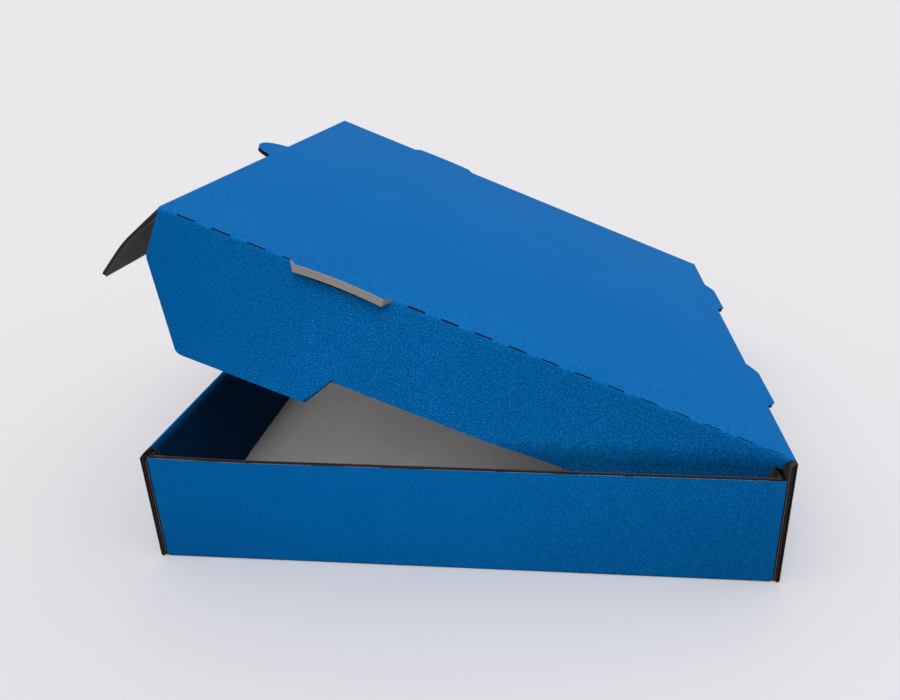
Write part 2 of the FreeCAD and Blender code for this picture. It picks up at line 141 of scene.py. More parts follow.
def quarter_turn(radius: float) -> tuple[np.ndarray, np.ndarray, np.ndarray]:
    """The angles of a quarter circle's points, its rise from the start and to the end."""
    turn = np.linspace(0, np.pi / 2, 6)
    return turn, radius * (1 - np.cos(turn)), radius * (1 - np.sin(turn))


def quarter_drop(radius: float, rise: np.ndarray) -> np.ndarray:
    """How far a quarter circle has still to go out, at a height above its foot."""
    return radius - np.sqrt(np.maximum(radius**2 - np.maximum(radius - rise, 0) ** 2, 0))


def grid_lines(breaks: list[float], step: float) -> np.ndarray:
    """Grid lines through every break, with the spans between them split evenly.

    Args:
        breaks: Positions that each need a line, in any order.
        step: Largest distance between two lines.

    Returns:
        The positions in rising order.
    """
    marks = np.unique(np.round(np.asarray(breaks, float), 5))
    spans = [
        np.linspace(low, high, max(1, int(np.ceil((high - low) / step - 1e-9))), endpoint=False)
        for low, high in zip(marks[:-1], marks[1:])
    ]
    return np.append(np.concatenate(spans), marks[-1])


def rounded_outline(corners: np.ndarray, radii: np.ndarray, pieces: int = 7) -> np.ndarray:
    """An open line of straight runs whose inner corners are arcs.

    At a corner between unit directions a and b that turn by w, the arc of radius r
    starts t = r tan(w/2) before it. Its points are corner + t ((1 - s)^2 (-a) + s^2 b)
    for s from 0 to 1, the parabola that touches both runs there.

    Args:
        corners: Corner positions, shape (n, 2).
        radii: Radius at each corner; those of the two ends aren't used.
        pieces: Points on each arc.

    Returns:
        The points of the rounded line, shape (m, 2).
    """
    before = corners[1:-1] - corners[:-2]
    after = corners[2:] - corners[1:-1]
    before /= np.linalg.norm(before, axis=1, keepdims=True)
    after /= np.linalg.norm(after, axis=1, keepdims=True)
    turn = np.arccos(np.clip(np.sum(before * after, axis=1), -1, 1))
    reach = (radii[1:-1] * np.tan(turn / 2))[:, None, None]
    s = np.linspace(0, 1, pieces)[None, :, None]
    arcs = corners[1:-1, None] + reach * (s**2 * after[:, None] - (1 - s) ** 2 * before[:, None])
    return np.concatenate([corners[:1], arcs.reshape(-1, 2), corners[-1:]])


def crease_round(distance: np.ndarray, radius: float, bend: float) -> tuple[np.ndarray, np.ndarray]:
    """Half of the outside arc of a fold, on the one board of the two.

    With t = radius tan(bend/2), a point at distance s < t from the sharp fold line moves
    to the arc at angle w = (1 - s/t) bend/2: t - radius sin(w) from the line and
    radius (1 - cos(w)) below the surface.

    Args:
        distance: Distances from the sharp fold line.
        radius: Outside radius of the fold.
        bend: Angle between the two boards' outer directions, in radians.

    Returns:
        The new distances from the line, and the drops below the surface.
    """
    tangent = radius * np.tan(bend / 2)
    angle = unit(1 - distance / tangent) * bend / 2
    moved = np.where(distance < tangent, tangent - radius * np.sin(angle), distance)
    return moved, radius * (1 - np.cos(angle))


def hinge_points(
    along: np.ndarray, side: np.ndarray, height: np.ndarray, pivot: tuple[float, float], angle: float
) -> np.ndarray:
    """Places a flat board that is hung on a fold line along Y.

    x = pivot x - along cos(angle) + height sin(angle)
    z = pivot z + along sin(angle) + height cos(angle)

    Args:
        along: Distance from the fold line, on the board.
        side: Y.
        height: Height above the board's outer surface.
        pivot: The fold line's x and z.
        angle: The board's slope above level, in radians.

    Returns:
        Points, with one more axis than the arguments.
    """
    x = pivot[0] - along * np.cos(angle) + height * np.sin(angle)
    z = pivot[1] + along * np.sin(angle) + height * np.cos(angle)
    return grid_points(x, side, z)


def edge_depth(level: np.ndarray, across: np.ndarray, board: Board) -> np.ndarray:
    """How far a raw edge is sunk between its liners, as a share of its full depth.

    The two liners stay proud. Between them the fluted sheet stands proud too, in a band
    whose middle is 0.5 + a sin(2 pi across / pitch) of the thickness.

    Args:
        level: Place in the thickness, 0 to 1, shape (k, 1).
        across: Place across the flutes for each point of the edge, shape (1, n).
        board: The board's layers.

    Returns:
        Depth shares, shape (k, n).
    """
    liner = board.liner / board.thickness
    sheet = board.flute_sheet / board.thickness
    swing = 0.5 - liner - sheet / 2
    middle = 0.5 + swing * np.sin(2 * np.pi * across / board.flute_pitch)
    open_core = unit((np.minimum(level, 1 - level) - liner) / board.liner_lip)
    sheet_edge = np.exp(-(((level - middle) / sheet) ** 2))
    return open_core * (1 - board.sheet_proud * sheet_edge)


def board_shell(
    outer: np.ndarray,
    inner: np.ndarray,
    board: Board,
    kept: np.ndarray | None = None,
    across: np.ndarray | None = None,
    crease: np.ndarray | float = 0.0,
    openness: np.ndarray | float = 1.0,
    coarse: np.ndarray | float = 0.1,
    shade: np.ndarray | float = 1.0,
    lining: np.ndarray | float = 1.0,
    edge_surface: Surface = Surface.RAW_EDGE,
) -> Patch:
    """A closed shell between two grids, with raw edges where the kept cells end.

    A point of a raw edge at level w is outer + w (inner - outer) + depth v, where v
    points into the board, square to its edge.

    Args:
        outer: Points of the printed surface, shape (m, n, 3).
        inner: Points of the inner surface, shape (m, n, 3).
        board: The board's layers.
        kept: Cells that exist, shape (m - 1, n - 1); all of them if left out.
        across: Place across the flutes, shape (m, n); Y if left out.
        crease: 1 on folds. This and the next four are spread to shape (m, n).
        openness: Share of the full depth to which raw edges are open.
        coarse: Strength of the print's grain.
        shade: Factor of painted light and shade on the colour of both surfaces.
        lining: Further factor of painted light and shade on the inner surface's colour.
        edge_surface: Surface of the raw edges' faces.

    Returns:
        The shell.
    """
    rows, columns = outer.shape[:2]
    kept = np.ones((rows - 1, columns - 1), bool) if kept is None else kept
    across = outer[..., 1] if across is None else across
    given = (across, crease, openness, coarse, shade, lining)
    given = [np.broadcast_to(value, (rows, columns)) for value in given]
    facing = np.cross(outer[1:, :-1] - outer[:-1, :-1], outer[:-1, 1:] - outer[:-1, :-1])
    if np.sum(facing * (outer - inner)[:-1, :-1] * kept[..., None]) < 0:
        outer, inner, kept, *given = (grid[:, ::-1] for grid in (outer, inner, kept, *given))
    across, crease, openness, coarse, shade, lining = (grid.reshape(-1) for grid in given)

    count = rows * columns
    index = np.arange(count).reshape(rows, columns)
    corners = ((0, 0), (1, 0), (1, 1), (0, 1))
    i, j = np.nonzero(kept)
    top = np.stack([index[i + di, j + dj] for di, dj in corners], axis=1)
    around = np.pad(kept, 1)
    starts, ends = [], []
    for side, (di, dj) in enumerate(((0, -1), (1, 0), (0, 1), (-1, 0))):
        beyond = around[1 + di : rows + di, 1 + dj : columns + dj]
        i, j = np.nonzero(kept & ~beyond)
        (ai, aj), (bi, bj) = corners[side], corners[(side + 1) % 4]
        starts.append(index[i + ai, j + aj])
        ends.append(index[i + bi, j + bj])
    start, end = np.concatenate(starts), np.concatenate(ends)

    flat_outer, flat_inner = outer.reshape(-1, 3), inner.reshape(-1, 3)
    middle = (flat_outer + flat_inner) / 2
    normal = flat_outer - flat_inner
    inward = np.cross(normal[start] + normal[end], middle[end] - middle[start])
    inward /= np.linalg.norm(inward, axis=1, keepdims=True) + 1e-12
    total = np.zeros((count, 3))
    np.add.at(total, start, inward)
    np.add.at(total, end, inward)
    rim = np.unique(np.concatenate([start, end]))
    square = np.maximum(np.sum(total[rim] ** 2, axis=1, keepdims=True), 1.0)
    into = 2 * total[rim] / square
    up = normal[rim] / np.linalg.norm(normal[rim], axis=1, keepdims=True)
    into -= up * np.sum(into * up, axis=1, keepdims=True)

    level = np.linspace(0, 1, board.edge_levels + 1)[1:-1, None]
    place = (across[rim] + board.edge_drift * flat_outer[rim, 0])[None, :]
    share = edge_depth(level, place, board) * openness[rim][None, :]
    edge_points = (
        flat_outer[rim]
        + level[..., None] * (flat_inner - flat_outer)[rim]
        + share[..., None] * board.hollow_depth * into
    )

    ring = np.full(count, -1)
    ring[rim] = np.arange(len(rim))
    between = 2 * count + np.arange(len(level))[:, None] * len(rim)
    from_outer = np.concatenate([start[None], between + ring[start], start[None] + count])
    to_outer = np.concatenate([end[None], between + ring[end], end[None] + count])
    walls = np.stack([from_outer[:-1], from_outer[1:], to_outer[1:], to_outer[:-1]], axis=-1).reshape(-1, 4)
    faces = np.concatenate([top, top[:, ::-1] + count, walls])
    surface = np.repeat(
        [Surface.PRINT.value, Surface.LINER.value, edge_surface.value], [len(top), len(top), len(walls)]
    )

    points = np.concatenate([flat_outer, flat_inner, edge_points.reshape(-1, 3)])
    zeros = np.zeros(count)
    layer = np.concatenate([zeros, zeros + 1, np.repeat(level[:, 0], len(rim))])
    hollow = np.concatenate([zeros, zeros, share.reshape(-1)])
    spread = [np.concatenate([v, v, np.tile(v[rim], len(level))]) for v in (crease, across, coarse, shade)]
    spread[-1][count : 2 * count] *= lining
    used, faces = np.unique(faces, return_inverse=True)
    values = (value[used] for value in (layer, hollow, *spread))
    return Patch(points[used], faces.reshape(-1, 4), surface, *values)


def board_object(name: str, patches: list[Patch], materials: list[bpy.types.Material]) -> bpy.types.Object:
    """One mesh object from several shells, with the per-point values as attributes.

    Args:
        name: The piece's name.
        patches: The shells.
        materials: Finishes in the order of Surface.

    Returns:
        The object, in metres, at the origin.
    """
    offsets = np.cumsum([0] + [len(patch.points) for patch in patches[:-1]])
    points = np.concatenate([patch.points for patch in patches]) / METRE
    faces = np.concatenate([patch.faces + offset for patch, offset in zip(patches, offsets)])
    mesh = bpy.data.meshes.new(name)
    mesh.from_pydata(points, [], faces)
    for material in materials:
        mesh.materials.append(material)
    mesh.polygons.foreach_set("material_index", np.concatenate([p.surface for p in patches]).astype(np.int32))
    for value in ("layer", "hollow", "crease", "across", "coarse", "shade"):
        attribute = mesh.attributes.new(value, "FLOAT", "POINT")
        data = np.concatenate([getattr(patch, value) for patch in patches])
        attribute.data.foreach_set("value", data.astype(np.float32))
    mesh.polygons.foreach_set("use_smooth", np.ones(len(faces), bool))
    mesh.update()
    mesh.set_sharp_from_angle(angle=SHARP_ANGLE)
    piece = bpy.data.objects.new(name, mesh)
    bpy.context.scene.collection.objects.link(piece)
    LOG.info("%s: %d points, %d faces", name, len(points), len(faces))
    return piece


@dataclass(frozen=True)
class BoxSizes:
    """Outside sizes of the box, and what follows from them."""

    length: float = 310.0
    width: float = 310.0
    side_height: float = 58.5
    front_height: float = 59.5
    back_height: float = 66.5
    lid_open: float = np.radians(22.4)
    front_fold: float = np.radians(60.4)
    front_fold_limit: float = np.radians(100.0)
    rear_tab_spacing: float = 144.6
    rear_tab_base: float = 52.5
    rear_tab_tip: float = 38.5
    rear_tab_depth: float = 5.7
    thumb_tab_base: float = 32.0
    thumb_tab_tip: float = 18.0
    thumb_tab_depth: float = 11.5
    rear_mitre_run: float = 6.0
    front_mitre_run: float = 8.0
    board: Board = field(default_factory=Board)

    @property
    def layer(self) -> float:
        """One board and the clearance to the next."""
        return self.board.thickness + self.board.gap

    @property
    def lid_length(self) -> float:
        """Hinge line to the lid's front fold."""
        return self.length - 3 * self.layer

    @property
    def lid_half(self) -> float:
        """Middle of the box to the lid's side folds."""
        return self.width / 2 - self.layer

    @property
    def hinge(self) -> tuple[float, float]:
        """The hinge line's x and z."""
        return self.length / 2, self.back_height

    @property
    def front_mitre(self) -> float:
        """How far the inner surfaces stay back from the front fold."""
        return self.board.thickness * np.tan(self.front_fold_limit / 2)


@dataclass
class Piece:
    """A body of the box: a name and the shells of board that make it."""

    box: BoxSizes
    name: ClassVar[str]

    def patches(self) -> list[Patch]:
        """The shells, which each kind of piece makes for itself."""
        raise NotImplementedError

    def build(self, finishes: Finishes) -> bpy.types.Object:
        """The piece as one object, with the board's finishes."""
        return board_object(self.name, self.patches(), finishes.materials())


@dataclass(frozen=True)
class LidTones:
    """Weights of the lid's grain and of its painted light and shade, and the lengths over
    which they change.

    flap_grain is the grain at the front end of a flap and what it gains towards the
    hinge. A flap's print gets painted light in its middle and painted shade towards the
    hinge and the front. The rim_ values paint a shadow on the near flap along the band
    where the tray's rim meets it, and the edge_ values paint shade on the last rows of
    the flap's step, wherever its slope is over edge_slope.
    """

    fade_in: float = 3.0
    panel_grain: float = 0.06
    fold_grain: float = 0.6
    fold_run: float = 36.0
    flap_grain: tuple[float, float] = (0.34, 0.66)
    flap_run: float = 90.0
    # Painted light in a flap's middle, and painted shade towards the hinge and the front.
    flap_painted_light: float = 0.06
    hinge_painted_shade: float = 0.22
    hinge_run: float = 170.0
    front_painted_shade: float = 0.12
    front_from: float = 220.0
    front_run: float = 80.0
    # Painted shadow on the near flap where the tray's rim meets it.
    rim_painted_shadow: float = 0.42
    rim_run: float = 6.0
    rim_until: float = 175.0
    # Painted shade: a dark line on the last rows of the flap's step.
    edge_painted_shade: float = 0.8
    edge_slope: float = 0.3
    edge_until: float = 250.0
    vent_grain: float = 0.5


@dataclass
class Lid(Piece):
    """Lid panel with its side flaps, tabs, vents and perforated side folds.

    outline_round holds the radii of the flap outline's corners. cut_widths holds the
    width of the rear cuts at the hinge, what they gain up to the vent, and the widths
    of the front cuts and of the short one beside the vent. fold_rows holds the depths
    of the grid's rows on either side of the vent's cut. Up to vent_depth, the inner
    surface goes down by tuck_fall over tuck_run less than the outer one.
    """

    name: ClassVar[str] = "lid_board"
    tones: LidTones = field(default_factory=LidTones)
    shallow: float = 49.2
    heel: float = 6.6
    toe_setback: float = 0.3
    toe_drop: float = 24.0
    toe_slant: float = 21.6
    deep_length: float = 62.4
    deep_extra: float = 1.3
    step_run: float = 8.5
    cut_pitch: float = 15.8
    cut_length: float = 8.2
    cut_start_rear: float = 5.2
    cut_start_front: float = 8.3
    vent_from_front: float = 59.5
    vent_length: float = 47.3
    vent_slant: float = 3.3
    vent_depth: float = 5.0
    vent_crease: float = 1.5
    vent_lift: tuple[float, float] = (11.5, 4.0)
    vent_edge: float = 3.5
    vent_root: float = 0.25
    vent_end_gap: float = 0.1
    vent_swell: tuple[float, float, float] = (0.35, 0.65, 0.8)
    vent_tuck: float = 0.3
    toe_lean: float = 1.1
    toe_run: float = 30.0
    bow: float = 2.8
    bow_run: float = 15.0
    outline_round: tuple[float, ...] = (0.0, 2.0, 3.0, 4.5, 6.0, 0.0)
    cut_widths: tuple[float, float, float, float] = (0.35, 0.6, 0.75, 0.6)
    uncut_width: float = 0.5
    cut_inside: float = 0.7
    fold_rows: tuple[float, float] = (6.3, 3.1)
    tuck_fall: float = 1.3
    tuck_run: float = 3.8
    arc_shoulder: float = 0.2
    arc_inside: float = 0.9
    fold_inside: float = 1.2
    tab_gap: float = 0.4
    panel_line: float = 146.0
    rear_tab_corner: float = 1.5
    thumb_tab_corner: float = 7.0
    tab_step: float = 0.8
    column_step: float = 5.0
    row_step: float = 6.0
    edge_step: float = 1.0

    @property
    def ledge(self) -> float:
        """Depth of the line near the fold from which a flap's rows are spread."""
        return self.box.back_height - self.box.side_height - self.box.board.gap

    def vent_span(self) -> tuple[float, float]:
        """The vent's rear and front ends, from the hinge line."""
        front = self.box.lid_length - self.vent_from_front
        return front - self.vent_length, front

    def cuts(self) -> np.ndarray:
        """Rear end, front end and width of each perforation cut, shape (n, 3)."""
        bridge = self.cut_pitch - self.cut_length
        vent_rear, vent_front = self.vent_span()
        rear_count = int((vent_rear - self.cut_start_rear + bridge) / self.cut_pitch)
        front_room = self.vent_from_front - self.cut_start_front
        front_count = int((front_room + bridge) / self.cut_pitch)
        rear = self.cut_start_rear + self.cut_pitch * np.arange(rear_count)
        front_ends = self.box.lid_length - self.cut_start_front - self.cut_pitch * np.arange(front_count)
        short_end = self.box.lid_length - self.cut_start_front - self.cut_pitch * front_count
        starts = np.concatenate([rear, front_ends - self.cut_length, [vent_front]])
        ends = np.concatenate([rear + self.cut_length, front_ends, [short_end]])
        at_hinge, gain, in_front, short = self.cut_widths
        widths = np.concatenate([at_hinge + gain * rear / vent_rear, np.full(front_count, in_front), [short]])
        return np.stack([starts, ends, widths], axis=1)

    def flap_outline(self) -> np.ndarray:
        """A side flap's lower edge: distance from the hinge against depth, rounded."""
        box = self.box
        toe = box.lid_length - self.toe_setback
        deep = box.back_height - box.layer + self.deep_extra
        deep_front = toe - self.toe_slant
        deep_rear = deep_front - self.deep_length
        corners = np.array([
            (self.heel, self.shallow), (deep_rear - self.step_run, self.shallow), (deep_rear, deep),
            (deep_front, deep), (toe, self.toe_drop), (toe, 0.0),
        ])
        return rounded_outline(corners, np.array(self.outline_round))

    def rim_depth(self, u: np.ndarray) -> np.ndarray:
        """Depth at which the wall's rim crosses a side flap: (h + u sin(a)) / cos(a)."""
        above = self.box.back_height - self.box.side_height
        return (above + u * np.sin(self.box.lid_open)) / np.cos(self.box.lid_open)

    def flap_bow(self, u: np.ndarray, depth: np.ndarray) -> np.ndarray:
        """How far a side flap gives way inward where the tray's side wall covers it.

        Towards the wall's rim the bow rises as t^2 (3 - 2t) over the last stretch.

        Args:
            u: Distances from the hinge line.
            depth: Depths below the lid's top.

        Returns:
            The bow in millimetres.
        """
        rim = self.rim_depth(u)
        run = np.minimum(self.bow_run, 0.8 * rim)
        t = unit(1 - (rim - depth) / run)
        return self.bow * run / self.bow_run * t**2 * (3 - 2 * t)

    def flap_side(
        self,
        sign: int,
        along: np.ndarray,
        lower: np.ndarray,
        share: np.ndarray,
        arc: np.ndarray,
        beside: np.ndarray,
    ) -> tuple[np.ndarray, np.ndarray, np.ndarray, np.ndarray]:
        """One side flap and its fold, row by row from the lower edge to the panel.

        Args:
            sign: -1 for the near side, 1 for the far side.
            along: Distances of the grid's columns from the hinge line.
            lower: Depths of the flap's lower edge there.
            share: Places of the flap's rows, from 1 at the lower edge to 0 at the ledge.
            arc: Angles of the fold's rows, from the flap up to the panel.
            beside: How far the fold's inner rows lie from its middle.

        Returns:
            Y and height of the outer surface, then Y and height of the inner one.
        """
        half, thick, radius = self.box.lid_half, self.box.board.thickness, self.box.board.fold_round
        cut_depth = self.vent_depth
        depth = self.ledge + share[None] * (lower - self.ledge)[:, None]
        close = np.broadcast_to([self.fold_rows[0], cut_depth, self.fold_rows[1]], (len(along), 3))
        tuck = cut_depth - (cut_depth - np.minimum(close, cut_depth)) * self.tuck_fall / self.tuck_run
        hanging, column = 0 * across_rows(depth, close) + half, np.zeros((len(along), 1))
        out_y = across_rows(hanging, half - radius + radius * np.cos(arc), column + half - self.vent_crease)
        out_h = across_rows(-depth, -close, radius * (np.sin(arc) - 1), column)
        panel_y = column + half - thick - self.fold_inside
        in_y = across_rows(hanging - thick, half - thick - np.maximum(beside, 0), panel_y)
        in_h = across_rows(-depth, -np.maximum(close, tuck), -thick + np.minimum(beside, 0), column - thick)
        bow = self.flap_bow(along[:, None], np.maximum(-out_h, 0))
        return sign * (out_y - bow), out_h, sign * (in_y - bow), in_h

    def shell(self) -> Patch:
        """Panel and both side flaps as one sheet bent along its side folds.

        The grid runs along the lid and across it: up the near flap, round its fold, over
        the panel, and down the far flap. A flap's rows are spread from a fixed line near
        the fold to its lower edge.

        Returns:
            The shell, with the vents and the perforation cut out of it.
        """
        box, board = self.box, self.box.board
        length, half, thick, radius = box.lid_length, box.lid_half, board.thickness, board.fold_round
        outline = self.flap_outline()
        toe = length - self.toe_setback
        cuts = self.cuts()
        vent_rear, vent_front = self.vent_span()
        hinge_bend = np.pi / 2 - box.lid_open
        hinge_tangent = radius * np.tan(hinge_bend / 2)
        front_tangent = radius * np.tan(box.front_fold / 2)
        below_toe = outline[outline[:, 0] < toe - 1e-6, 0]
        along = grid_lines(
            [0, hinge_tangent / 2, hinge_tangent, box.layer, self.heel, toe, length,
             length - front_tangent, length - front_tangent / 2, vent_rear, vent_front,
             *below_toe, *cuts[:, :2].ravel()],
            self.column_step,
        )
        last = np.searchsorted(outline[:, 0], toe - 1e-6)
        lower = np.interp(along, outline[: last + 1, 0], outline[: last + 1, 1])

        share = np.linspace(1, 0, int((box.back_height - self.ledge) / self.edge_step))
        width = np.full(len(along), self.uncut_width)
        for start, end, cut_width in cuts:
            width[(along > start - 1e-6) & (along < end + 1e-6)] = cut_width
        open_angle = width / 2 / radius
        eighth, shoulder = np.pi / 4, self.arc_shoulder
        angles = (0, shoulder, eighth - open_angle, eighth, eighth + open_angle,
                  2 * eighth - shoulder, 2 * eighth)
        arc = np.stack([0 * along + angle for angle in angles], axis=1)
        beside = self.arc_inside * np.sign(arc - eighth) * unit(np.abs(arc - eighth) / eighth)
        beside[:, 2], beside[:, 4] = -self.cut_inside * width, self.cut_inside * width
        tabs = [box.rear_tab_spacing / 2 + s * box.rear_tab_base / 2 for s in (-1, 1)]
        thumb, gap = box.thumb_tab_base / 2, self.tab_gap
        marks = [0, thumb, thumb + gap, tabs[0] - gap, tabs[0], tabs[1], tabs[1] + gap, self.panel_line]
        flat = grid_lines([s * m for m in marks for s in (-1, 1)], self.row_step)
        near, far = (self.flap_side(sign, along, lower, share, arc, beside) for sign in (-1, 1))
        level = np.zeros((len(along), len(flat)))
        middle = (level + flat, level, level + flat, level - thick)
        out_y, out_h, in_y, in_h = (across_rows(a, b, c[:, ::-1]) for a, b, c in zip(near, middle, far))
        side_rows = near[0].shape[1]
        flap_rows = side_rows - arc.shape[1] - 1
        total_rows = out_y.shape[1]
        row = np.arange(total_rows)
        edge_row = np.minimum(row, total_rows - 1 - row)
        on_panel = edge_row >= side_rows - 1
        off_flap = edge_row >= flap_rows

        u = np.broadcast_to(along[:, None], out_y.shape).copy()
        slot_rows = (edge_row >= len(share) + 1) & (edge_row < side_rows - 1)
        slot_share = np.where(slot_rows, unit(-out_h / self.vent_depth), 0)
        for position, sign in ((vent_rear, 1), (vent_front, -1)):
            column = np.argmin(np.abs(along - position))
            u[column] += sign * self.vent_slant * slot_share[column]
        forward = unit((u - toe + self.toe_run) / self.toe_run) * (u < toe + 0.01) * ~off_flap
        u = u + self.toe_lean * forward * unit(-out_h / self.toe_drop)
        rear_edge = np.argmin(np.abs(along - box.layer))
        near_hinge = ~on_panel & (edge_row >= len(share)) & (edge_row <= flap_rows)
        u[rear_edge, near_hinge] = np.clip(-out_h[rear_edge, near_hinge] + 0.2, 1.2, box.layer)
        from_tab = np.abs(np.abs(out_y[0]) - box.rear_tab_spacing / 2)
        flat_tab = on_panel & (from_tab < box.rear_tab_base / 2 + 0.2)
        flat_thumb = on_panel & (np.abs(out_y[0]) < thumb + 0.2)
        moved, drop = crease_round(u, radius, hinge_bend)
        rear_round = (off_flap & ~flat_tab)[None]
        out_u = np.where(rear_round, moved, u)
        out_h = out_h - np.where(rear_round, drop, 0)
        moved, drop = crease_round(length - u, radius, box.front_fold)
        front_round = (off_flap & ~flat_thumb)[None]
        out_u = np.where(front_round & (u > length / 2), length - moved, out_u)
        out_h = out_h - np.where(front_round, drop, 0)
        back = thick * unit(1 - u / box.rear_mitre_run) * off_flap
        front = box.front_mitre * unit(1 - (length - u) / box.front_mitre_run) * on_panel
        outer = hinge_points(out_u, out_y, out_h, box.hinge, box.lid_open)
        inner = hinge_points(u + back - front, in_y, in_h, box.hinge, box.lid_open)

        middle_u = middles(along)[:, None]
        cell_row = np.minimum(row[:-1], total_rows - 2 - row[:-1])[None]
        in_flap = cell_row < flap_rows
        fixed_line = cell_row >= len(share) - 1
        kept = ~in_flap | ((middle_u > self.heel) & (middle_u < toe))
        kept |= in_flap & fixed_line & (middle_u > box.layer) & (middle_u < toe)
        cut_row = (cell_row == flap_rows + 2) | (cell_row == flap_rows + 3)
        kept &= ~(cut_row & within(middles(along), cuts)[:, None])
        in_vent = (middle_u > vent_rear) & (middle_u < vent_front)
        vent_row = (cell_row >= len(share) + 1) & (cell_row < side_rows - 1)
        kept &= ~(vent_row & in_vent)

        depth = np.maximum(0, -out_h)
        across = np.where(off_flap[None], np.abs(out_y), half + depth)
        crease = np.where((edge_row >= flap_rows) & (edge_row < side_rows - 1), 1.0, 0.0)[None] + 0 * u
        crease = np.maximum(crease, (u < 1.2) | (u > length - 1.0))
        closed = off_flap[None] & ((u < 0.1) | (u > length - 0.1) | (edge_row < side_rows)[None])
        sloping = np.gradient(lower, along) > self.tones.edge_slope
        on_step = (sloping & (along < self.tones.edge_until))[:, None] & (edge_row <= 1)[None]
        coarse, shade, lining = self.colouring(u, out_y, depth, off_flap[None], on_step)
        openness = np.where(closed, 0.0, 1.0)
        return board_shell(outer, inner, board, kept, across, crease, openness, coarse, shade, lining)

    def colouring(
        self, u: np.ndarray, y: np.ndarray, depth: np.ndarray, off_flap: np.ndarray, on_step: np.ndarray
    ) -> tuple[np.ndarray, np.ndarray, np.ndarray]:
        """Grain of the shell's points, and the light and shade painted on them.

        Args:
            u: Distances from the hinge line.
            y: Places across the box.
            depth: Depths below the lid's top.
            off_flap: Points of the folds and the panel.
            on_step: Points on the last rows of a side flap's step.

        Returns:
            Strength of the grain, factor of painted light and shade on both surfaces' colour,
            and further factor on the inner one's, which leaves the painted shadow along the rim
            to the print alone.
        """
        tones = self.tones
        on_flap = unit(depth / tones.fade_in)
        to_fold = np.maximum(0, self.box.lid_half - np.abs(y))
        beside_fold = np.exp(-((to_fold / tones.fold_run) ** 2)) * (y < 0)
        toward_hinge = unit((self.box.lid_length - u) / tones.flap_run)
        on_panel = tones.panel_grain + tones.fold_grain * beside_fold
        below = tones.flap_grain[0] + tones.flap_grain[1] * toward_hinge
        coarse = np.where(off_flap & (on_flap < 1), on_panel, below)
        to_hinge = unit(1 - u / tones.hinge_run)
        to_front = unit((u - tones.front_from) / tones.front_run)
        to_rim = np.exp(-(((self.rim_depth(u) - depth) / tones.rim_run) ** 2))
        # Painted light in the flap's middle and painted shade towards the hinge and the front.
        flap_light_and_shade = 1 + on_flap * (tones.flap_painted_light - tones.hinge_painted_shade * to_hinge - tones.front_painted_shade * to_front)
        # Painted shadow on the near flap's print along the band where the tray's rim meets it.
        shade = flap_light_and_shade - tones.rim_painted_shadow * on_flap * to_rim * (u < tones.rim_until) * (y < 0)
        # Painted shade: a dark line on the last rows of the flap's step.
        shade = np.where(on_step, shade * (1 - tones.edge_painted_shade), shade)
        return coarse, shade, flap_light_and_shade / shade

    def tab(
        self, root: float, reach: float, mitre: float, middle: float, base: float, tip: float, corner: float
    ) -> Patch:
        """A flat tab that runs on past a fold, tapering from its base to its tip.

        Half its width is base/2 + s (tip - base)/2, less the rounding of its corners,
        corner - sqrt(corner^2 - (corner - rest)^2), where rest is what is left to the
        tip and s its share of the reach.

        Args:
            root: Distance of the tab's fold from the hinge line.
            reach: Length past the fold, positive away from the hinge line.
            mitre: How far its inner surface starts behind the fold.
            middle: Y of the tab's middle.
            base: Width at the fold.
            tip: Width at the outer edge.
            corner: Radius of the corners.

        Returns:
            The tab's shell.
        """
        box = self.box
        size = abs(reach)
        on_corner = 1 - corner / size * (1 - np.sin(np.linspace(0, np.pi / 2, 8)))
        share = np.unique(np.concatenate([np.linspace(0, 1, 5), on_corner]))
        rest = np.clip(corner - (1 - share) * size, 0, corner)
        half = base / 2 + share * (tip - base) / 2 - (corner - np.sqrt(corner**2 - rest**2))
        s = np.linspace(-1, 1, int(base / self.tab_step))
        side = middle + half[:, None] * s[None]
        u = (root + share * reach)[:, None] + 0 * side
        start = (root - np.sign(reach) * mitre + share * (reach + np.sign(reach) * mitre))[:, None] + 0 * side
        outer = hinge_points(u, side, 0 * side, box.hinge, box.lid_open)
        inner = hinge_points(start, side, 0 * side - box.board.thickness, box.hinge, box.lid_open)
        openness = np.where(share[:, None] + 0 * side < 0.02, 0.0, 1.0)
        return board_shell(outer, inner, box.board, openness=openness)

    def vent_tab(self, sign: int, lift: float) -> Patch:
        """The tab left standing over a vent, bent up about its crease.

        Across the tab, a point at distance s from the crease lies s cos(a) out and
        s sin(a) up, where the lift a swells from its ends to its middle. The board is
        pressed thin at the crease and widens evenly to its cut edge.

        Args:
            sign: -1 for the near side, 1 for the far side.
            lift: Largest lift, in degrees.

        Returns:
            The tab's shell.
        """
        box = self.box
        rear, front = self.vent_span()
        s = np.linspace(0, 1, 60)
        crease = box.lid_half - self.vent_crease
        reach = self.vent_depth + self.vent_crease
        out = np.concatenate([[0, 0.4, self.vent_crease], np.linspace(self.vent_crease, reach, 5)[1:]])
        widening = unit((out - self.vent_crease) / self.vent_depth)
        slant = widening * self.vent_slant
        low, high = rear + self.vent_end_gap + slant, front - self.vent_end_gap - slant
        u = low[None] + s[:, None] * (high - low)[None]
        at_ends, gain, power = self.vent_swell
        angle = np.radians(lift) * (at_ends + gain * np.sin(np.pi * s) ** power)[:, None]
        side = crease + out[None] * np.cos(angle)
        height = out[None] * np.sin(angle)
        thick = (self.vent_edge * (self.vent_root + (1 - self.vent_root) * widening))[None]
        inner_side = side + self.vent_tuck * thick * np.sin(angle) * (out > 0)
        inner_height = height - thick * np.cos(angle)
        outer = hinge_points(u, sign * side, height, box.hinge, box.lid_open)
        inner = hinge_points(u, sign * inner_side, inner_height, box.hinge, box.lid_open)
        return board_shell(outer, inner, box.board, across=side, openness=0.0,
                           coarse=self.tones.vent_grain, edge_surface=Surface.LINER)

